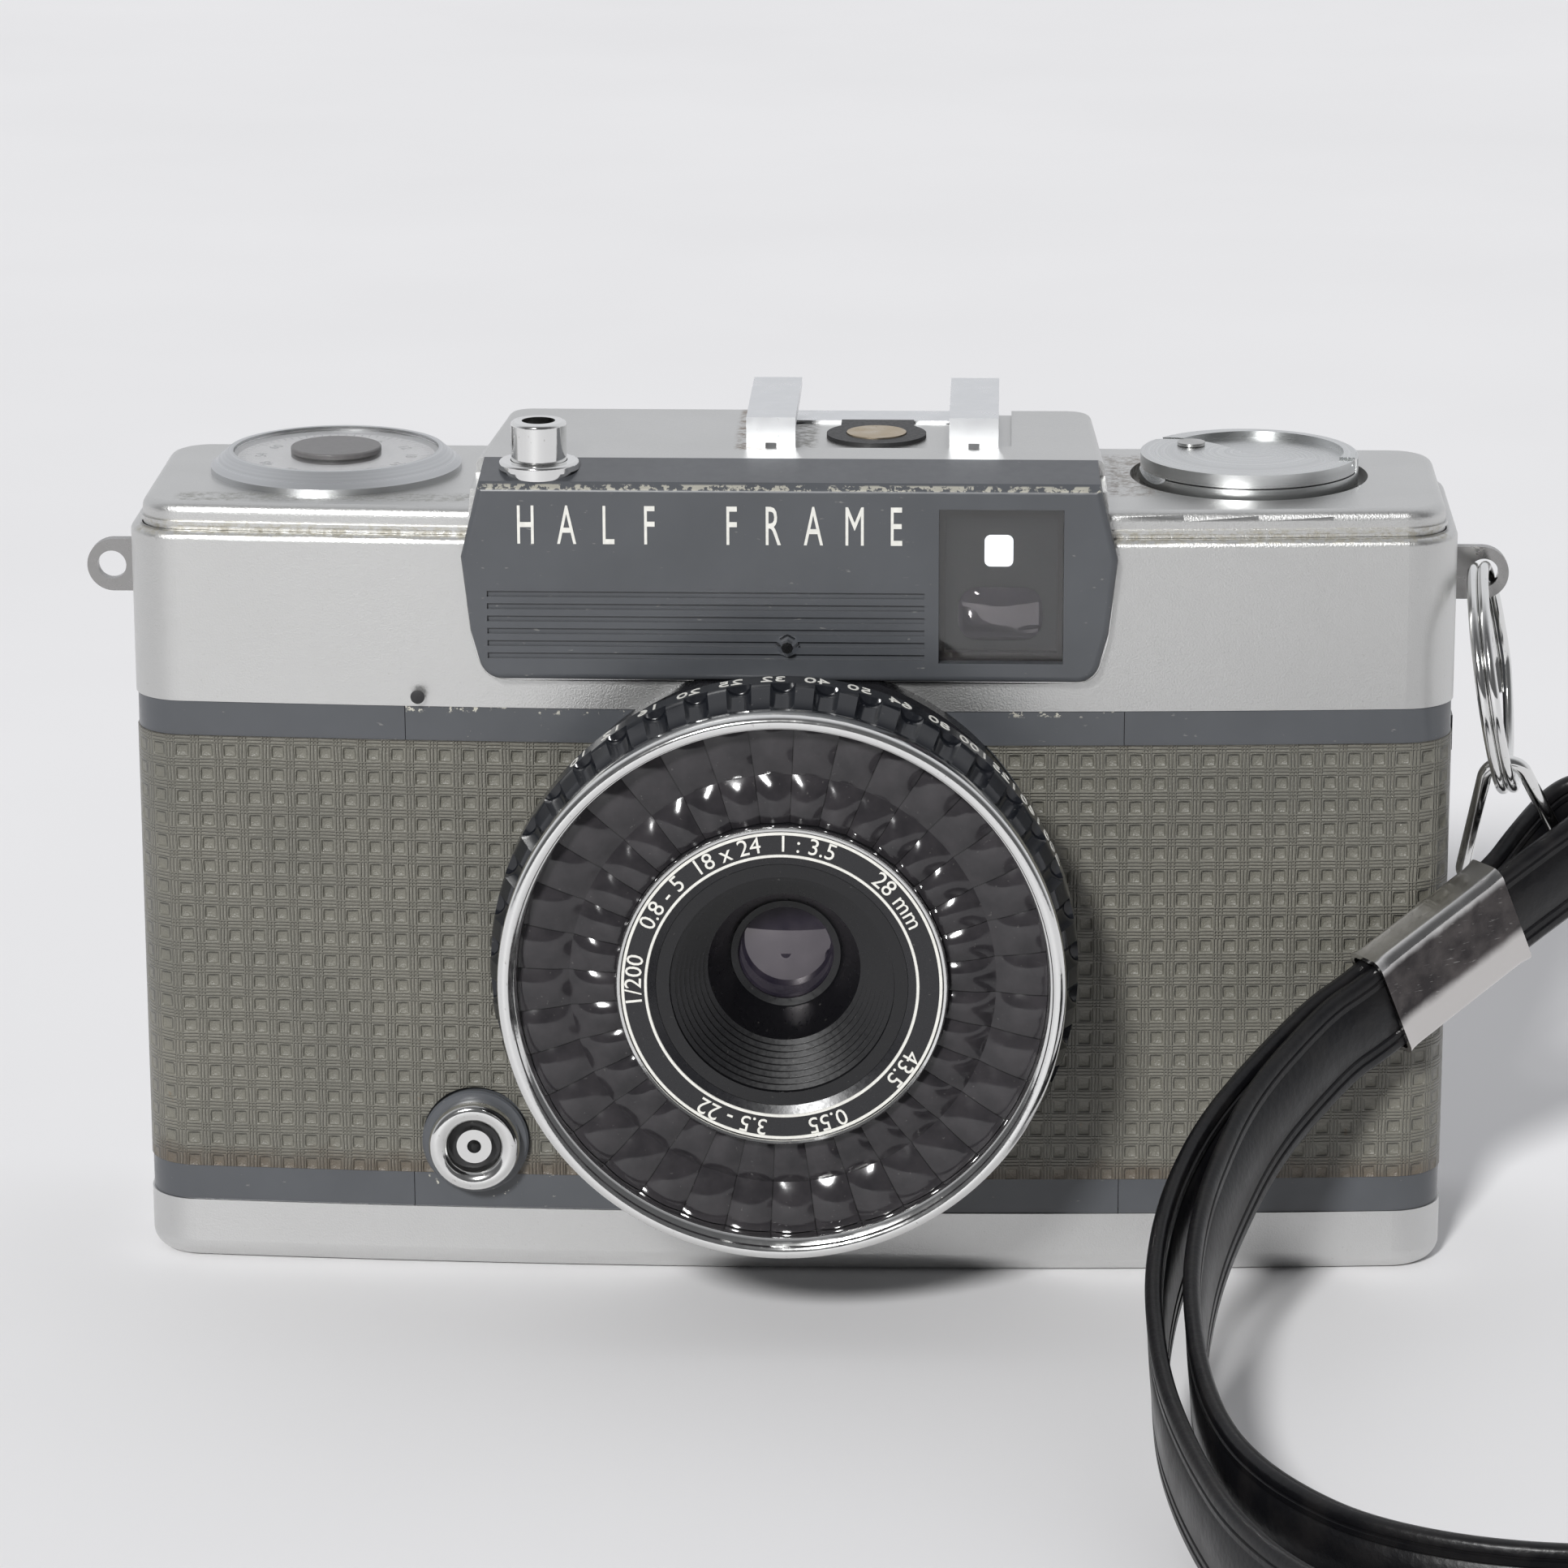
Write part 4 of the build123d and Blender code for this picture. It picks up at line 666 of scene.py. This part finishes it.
def make_ferrule():
    """A flattened tube with lightly flared mouths and a soft crease along each broad face."""
    along = (FERRULE_HIGH - FERRULE_LOW).normalized()
    up = LEAN_UP
    out = along.cross(up)
    start = FERRULE_LOW + along * 0.4
    rings = []
    steps = 26
    for inside in (False, True):
        order = range(steps + 1) if not inside else range(steps, -1, -1)
        for i in order:
            t = i / steps
            flare = 0.26 * (max(0.0, 1 - t / 0.09) ** 2 + max(0.0, 1 - (1 - t) / 0.09) ** 2)
            inset = 0.46 if inside else 0.0
            width = STRAP_W + 1.3 - 2 * inset + flare * 0.8
            depth = 3.85 - 2 * inset + flare
            at = start + along * (FERRULE_LENGTH * t)
            ring = []
            for a, b in rounded_oblong(width, depth, 0.95 - inset):
                dent = 0.1 * math.cos(min(abs(a) / (width / 2), 1.0) * math.pi / 2) * math.sin(math.pi * t)
                ring.append(at + up * a + out * (b - math.copysign(dent, b)))
            rings.append(ring)
    count = len(rings[0])
    verts = [v for ring in rings for v in ring]
    faces = []
    for i in range(len(rings)):
        j = (i + 1) % len(rings)
        for k in range(count):
            m = (k + 1) % count
            faces.append((i * count + k, i * count + m, j * count + m, j * count + k))
    return mesh_piece("strap_ferrule", verts, faces, "ferrule", replaces=("ferrule",))


ferrule = make_ferrule()

RING_LOW = Vector((58.2, -10.0, 41.8))
LUG_POINT = Vector((56.75, 0.0, 57.0))


def make_split_ring():
    """Nearly two turns of wire, with the crossover and both cut ends on the far side."""
    hang = (RING_LOW - LUG_POINT).normalized()
    side = Vector((0, 1, 0))
    side = (side - hang * side.dot(hang)).normalized()
    side = Matrix.Rotation(math.radians(8), 3, hang) @ side
    face = hang.cross(side)
    centre = (LUG_POINT + RING_LOW) / 2
    radius = (RING_LOW - LUG_POINT).length / 2
    points = []
    turns, start = 1.86, 100
    for i in range(181):
        t = i / 180
        a = math.radians(start + 360 * turns * t)
        shift = (-0.44 + 0.88 * min(max((t - 0.44) / 0.12, 0.0), 1.0))
        points.append(centre + hang * (math.cos(a) * radius) + side * (math.sin(a) * radius) + face * shift)
    return tube("key_ring", points, 0.45, "chrome", 14, replaces=("split_ring",))


split_ring = make_split_ring()
[tuple(p * MM) for p in strap_path]

# ------------------------------------------------------------ meter window: two rings of bubble cells
RING_SPLIT, RING_IN, RING_OUT = 16.9, 13.12, 20.95


def make_meter_window():
    """Each cell is crowned across, and both rings fall away into the groove between them."""
    verts, faces = [], []
    across, around = 11, 12
    base_y, rise = -29.9, 0.88
    radii = []
    for low, high, way in ((RING_IN, RING_SPLIT, 1), (RING_SPLIT, RING_OUT, -1)):
        for k in range(across):
            v = (k / (across - 1) * 2 - 1) * way
            fall = max(0.0, (v + 0.35) / 1.35) ** 2 * 0.86 + max(0.0, (-v - 0.6) / 0.4) ** 2 * 0.12
            radii.append((low + (high - low) * k / (across - 1), fall))
    per_turn = CELLS * around
    for s in range(per_turn):
        share = (s % around) / (around - 1) * 2 - 1
        angle = CELL_START + 2 * math.pi * (s // around + (s % around) / (around - 1)) / CELLS
        for r, fall in radii:
            crown = (1 - fall) * (1 - 0.42 * share * share)
            verts.append((r * math.cos(angle), base_y - rise * crown, LENS_Z + r * math.sin(angle)))
    rows = len(radii)
    for s in range(per_turn):
        t = (s + 1) % per_turn
        for k in range(rows - 1):
            faces.append((s * rows + k, s * rows + k + 1, t * rows + k + 1, t * rows + k))
    return mesh_piece("meter_bubbles", verts, faces, "cell", smooth=14,
                      replaces=("meter_window",))


make_meter_window()

# ------------------------------------------------------------ lens rings
SCALLOPS = 42


def scallop(r, y, angle):
    """Cuts finger notches into the front half of the film speed ring."""
    if r < 22.4 or y > -26.6:
        return r
    phase = (angle * SCALLOPS / (2 * math.pi)) % 1.0
    depth = 0.0 if abs(phase - 0.5) > 0.27 else 0.62 * math.cos((phase - 0.5) / 0.27 * math.pi / 2) ** 0.6
    return r - depth


lathe("speed_ring_grip", [
    (21.6, -25.4), (22.35, -25.4), (22.35, -24.25), (23.3, -24.25), (23.4, -24.35), (23.4, -26.55),
    (23.4, -26.65), (23.4, -27.4), (23.25, -27.8), (22.75, -28.9), (22.5, -29.5), (22.2, -29.8),
    (21.6, -29.8),
], "black_gloss", segments=SCALLOPS * 14, body="speed_ring",
    replaces=("film_speed_ring",), radius_at=scallop, smooth=30)

lathe("bezel_ring", [
    (21.0, -30.42), (22.15, -30.42), (22.38, -30.6), (22.43, -30.9), (22.43, -32.5), (22.36, -32.8),
    (22.15, -33.03), (21.9, -33.1), (21.62, -33.08), (21.42, -32.95), (21.34, -32.75), (21.42, -32.6),
    (21.24, -32.5), (21.36, -32.35), (21.2, -32.25), (21.32, -32.1), (21.18, -32.0), (21.28, -31.85),
    (21.12, -31.7), (21.0, -31.5),
], "chrome", segments=256, replaces=("front_bezel",), smooth=32)

lathe("name_ring_outer", [(12.72, -31.7), (12.8, -31.92), (12.98, -31.98), (13.12, -31.85), (13.14, -31.3),
                          (12.72, -31.3)], "chrome", smooth=50)
lathe("name_ring_rim", [(12.42, -31.72), (12.46, -31.8), (12.66, -31.8), (12.7, -31.72)], "white",
      smooth=0)
lathe("name_ring_line", [(10.62, -31.72), (10.66, -31.8), (10.84, -31.8), (10.88, -31.72)], "white",
      smooth=0)


# ------------------------------------------------------------ lettering: generic numbers and marks
def text_mesh(name, body_text, size, look, place, body="camera_body", depth=0.03):
    """Text turned into a mesh; place maps a flat (x, y, height) point in millimetres to the frame."""
    data = bpy.data.curves.new(name, "FONT")
    data.body = body_text
    data.size = size
    data.extrude = depth
    data.align_x = "CENTER"
    data.align_y = "CENTER"
    data.resolution_u = 3
    holder = bpy.data.objects.new(name, data)
    bpy.context.scene.collection.objects.link(holder)
    bpy.context.view_layer.update()
    flat = bpy.data.meshes.new_from_object(holder.evaluated_get(bpy.context.evaluated_depsgraph_get()))
    bpy.data.objects.remove(holder)
    verts = [place(v.co.x, v.co.y, v.co.z) for v in flat.vertices]
    faces = [tuple(p.vertices) for p in flat.polygons]
    bpy.data.meshes.remove(flat)
    return mesh_piece(name, verts, faces, look, body, 0)


def on_ring_face(radius, y, centre_deg):
    """Lays flat text on the name ring, reading clockwise from in front."""
    def place(x, up, out):
        angle = math.radians(centre_deg) - x / radius
        r = radius + up
        return (r * math.cos(angle), y - out, LENS_Z + r * math.sin(angle))
    return place


NAME_MARKS = ((144, "0.8 - 5"), (112, "18 x 24"), (80, "1 : 3.5"), (38, "28 mm"), (-35, "43.5"),
              (-72, "0.55"), (-110, "3.5 - 22"), (178, "1/200"))
for index, (degrees, word) in enumerate(NAME_MARKS):
    text_mesh(f"name_mark_{index}", word, 1.9, "white", on_ring_face(11.68, -31.76, degrees))


def on_speed_ring(centre_deg):
    """Lays text on the outside of the film speed ring, upright when read from behind the camera."""
    def place(x, up, out):
        angle = math.radians(centre_deg) + x / 23.4
        r = 23.41 + out
        return (r * math.cos(angle), -25.45 + up, LENS_Z + r * math.sin(angle))
    return place


SPEEDS = ("10", "12", "16", "20", "25", "32", "40", "50", "64", "80", "100", "125", "160", "200")
for index, word in enumerate(SPEEDS):
    text_mesh(f"speed_mark_{index}", word, 2.1, "white", on_speed_ring(134 - index * 8.4),
              body="speed_ring", depth=0.02)

# ------------------------------------------------------------ sync socket
SYNC = (-26.1, 11.4)
lathe("sync_seat", [(2.2, -13.4), (4.4, -13.4), (4.42, -13.62), (4.25, -13.78), (2.2, -13.8)], "front",
      centre=SYNC, segments=72)
lathe("sync_shell", [
    (2.15, -13.6), (3.74, -13.6), (3.78, -13.8), (3.76, -15.0), (3.66, -15.35), (3.4, -15.58), (2.95, -15.6),
    (2.5, -15.45), (2.22, -15.15), (2.15, -14.9),
], "chrome", centre=SYNC, segments=96, replaces=("sync_socket",), smooth=45)
lathe("sync_floor", [(1.4, -13.5), (2.25, -13.5), (2.25, -13.9), (1.4, -13.9)], "black_matte", centre=SYNC,
      segments=48)

# ------------------------------------------------------------ finder: light at the eyepiece, objective rim
def plate(name, x0, x1, z0, z1, y, look, corner=0.4, thick=0.15, bulge=0.0):
    """A thin rounded plate across the finder, a little crowned if bulge is set."""
    outline = rounded_oblong(x1 - x0, z1 - z0, corner, 8)
    cx, cz = (x0 + x1) / 2, (z0 + z1) / 2
    verts, faces = [], []
    levels = [(1.0, 0.0), (1.0, thick), (0.9, thick + bulge * 0.3), (0.6, thick + bulge * 0.75),
              (0.3, thick + bulge * 0.95)]
    count = len(outline)
    for scale, rise in levels:
        verts += [(cx + a * scale, y - rise, cz + b * scale) for a, b in outline]
    for i in range(len(levels) - 1):
        for k in range(count):
            m = (k + 1) % count
            faces.append((i * count + k, i * count + m, (i + 1) * count + m, (i + 1) * count + k))
    faces.append(tuple(range(count))[::-1])
    faces.append(tuple(range((len(levels) - 1) * count, len(levels) * count)))
    return mesh_piece(name, verts, faces, look, smooth=30)


plate("finder_light", 15.7, 18.0, 60.3, 62.9, -12.2, "glow", 0.5, 0.05)
# a black plate behind the finder window: painted shade of the finder's inside
plate("finder_painted_shade", 12.3, 21.8, 53.0, 65.0, -11.9, "black_matte", 0.3, 0.1)
plate("finder_objective", 13.6, 20.4, 54.2, 58.6, -12.25, "coated", 1.6, 0.1, 0.6)

# a black disc standing for a small pit in the cover: painted shade of the pit
lathe("cover_pit_painted_shade", [(0.0, -13.38), (0.5, -13.38), (0.58, -13.43), (0.42, -13.47), (0.0, -13.47)],
      "black_matte", centre=(-30.2, 49.35), segments=24, closed=False)

HOOD_EDGE = ((-25.95, 58.6), (-25.75, 55.2), (-25.0, 52.4), (-24.4, 51.35), (-23.2, 50.98), (-12.0, 50.95),
             (0.0, 50.95), (12.0, 50.95), (23.2, 50.98), (24.4, 51.35), (25.0, 52.4), (25.75, 55.2),
             (25.95, 58.6))
tube("hood_edge", spline_points([(x, -13.42, z) for x, z in HOOD_EDGE]), 0.2, "chrome", 8)


def on_hood(x0, z0, squeeze):
    """Stands text on the hood's front face, narrowed by squeeze."""
    def place(x, up, out):
        return (x0 + x * squeeze, -14.8 - out, z0 + up)
    return place


HOOD_WORD, HOOD_PITCH = "HALF FRAME", 3.3
for index, letter in enumerate(HOOD_WORD):
    if letter != " ":
        text_mesh(f"hood_letter_{index}", letter, 4.6, "white",
                  on_hood(-21.1 + index * HOOD_PITCH, 63.9, 0.5), depth=0.06)

# ------------------------------------------------------------ counter dial marks
DIAL = Vector((-38.2, 2.7, 65.41))
TICK_R, TICK_HALF_WIDTH = 8.0, 0.05


def on_dial(centre_deg, radius):
    """Lays text flat on the counter dial, its top facing outward."""
    def place(x, up, out):
        a = math.radians(centre_deg)
        outward = Vector((math.cos(a), math.sin(a), 0))
        along = Vector((math.sin(a), -math.cos(a), 0))
        return DIAL + Vector((0, 0, out)) + outward * (radius + up) + along * x
    return place


for index in range(12):
    text_mesh(f"count_{index}", str(index * 6), 1.35, "ink", on_dial(90 - index * 30, 6.2), body="counter",
              depth=0.01)

ticks, tick_faces = [], []
for index in range(72):
    a = math.radians(index * 5)
    inner = TICK_R - (0.9 if index % 6 == 0 else 0.5)
    tick_faces.append(tuple(range(len(ticks), len(ticks) + 4)))
    for r, side in ((TICK_R, -TICK_HALF_WIDTH), (TICK_R, TICK_HALF_WIDTH),
                    (inner, TICK_HALF_WIDTH), (inner, -TICK_HALF_WIDTH)):
        ticks.append((DIAL.x + r * math.cos(a) - side * math.sin(a),
                      DIAL.y + r * math.sin(a) + side * math.cos(a), DIAL.z + 0.005))
mesh_piece("count_ticks", ticks, tick_faces, "ink", body="counter", smooth=0)

# ------------------------------------------------------------ floor, lights, world
FLOOR = Look("floor_paper", (0.82, 0.815, 0.82), 0.0, 0.75)
FLOOR.set(**{"Base Color": FLOOR.mix(FLOOR.span(FLOOR.noise(0.01, 3.0), 0.3, 0.7), (0.83, 0.825, 0.83),
                                     (0.80, 0.795, 0.80))})
FLOOR_REACH = 6.0
floor_data = bpy.data.meshes.new("floor")
floor_corners = [(a * FLOOR_REACH, b * FLOOR_REACH, 0) for a, b in ((-1, -1), (1, -1), (1, 1), (-1, 1))]
floor_data.from_pydata(floor_corners, [], [(0, 1, 2, 3)])
floor_data.materials.append(FLOOR.mat)
floor = bpy.data.objects.new("floor", floor_data)
bpy.context.scene.collection.objects.link(floor)


# the key light comes over the camera's left shoulder
KEY_AZ, KEY_EL = math.radians(15.6), math.radians(31.0)
KEY_STRENGTH, KEY_SPREAD = 3.1, math.radians(8)
KEY_WAY = (-math.sin(KEY_AZ) * math.cos(KEY_EL), -math.cos(KEY_AZ) * math.cos(KEY_EL), math.sin(KEY_EL))
sun = bpy.data.lights.new("key", "SUN")
sun.energy = KEY_STRENGTH
sun.angle = KEY_SPREAD
sun_object = bpy.data.objects.new("key", sun)
bpy.context.scene.collection.objects.link(sun_object)
sun_object.rotation_euler = Vector(KEY_WAY).to_track_quat("Z", "Y").to_euler()

# white sweep behind, darker room on the camera's side
world = bpy.data.worlds.new("world")
bpy.context.scene.world = world
world.use_nodes = True
tree = world.node_tree
coord = tree.nodes.new("ShaderNodeTexCoord")
split = tree.nodes.new("ShaderNodeSeparateXYZ")
tree.links.new(coord.outputs["Generated"], split.inputs[0])
depth = tree.nodes.new("ShaderNodeMapRange")
depth.interpolation_type = "SMOOTHSTEP"
tree.links.new(split.outputs[1], depth.inputs["Value"])
for key, number in (("From Min", -0.55), ("From Max", 0.35), ("To Min", 0.12), ("To Max", 0.77)):
    depth.inputs[key].default_value = number
background = tree.nodes["Background"]
background.inputs[0].default_value = (0.96, 0.97, 1.0, 1)
tree.links.new(depth.outputs["Result"], background.inputs[1])
bpy.context.scene.view_settings.view_transform = "Standard"
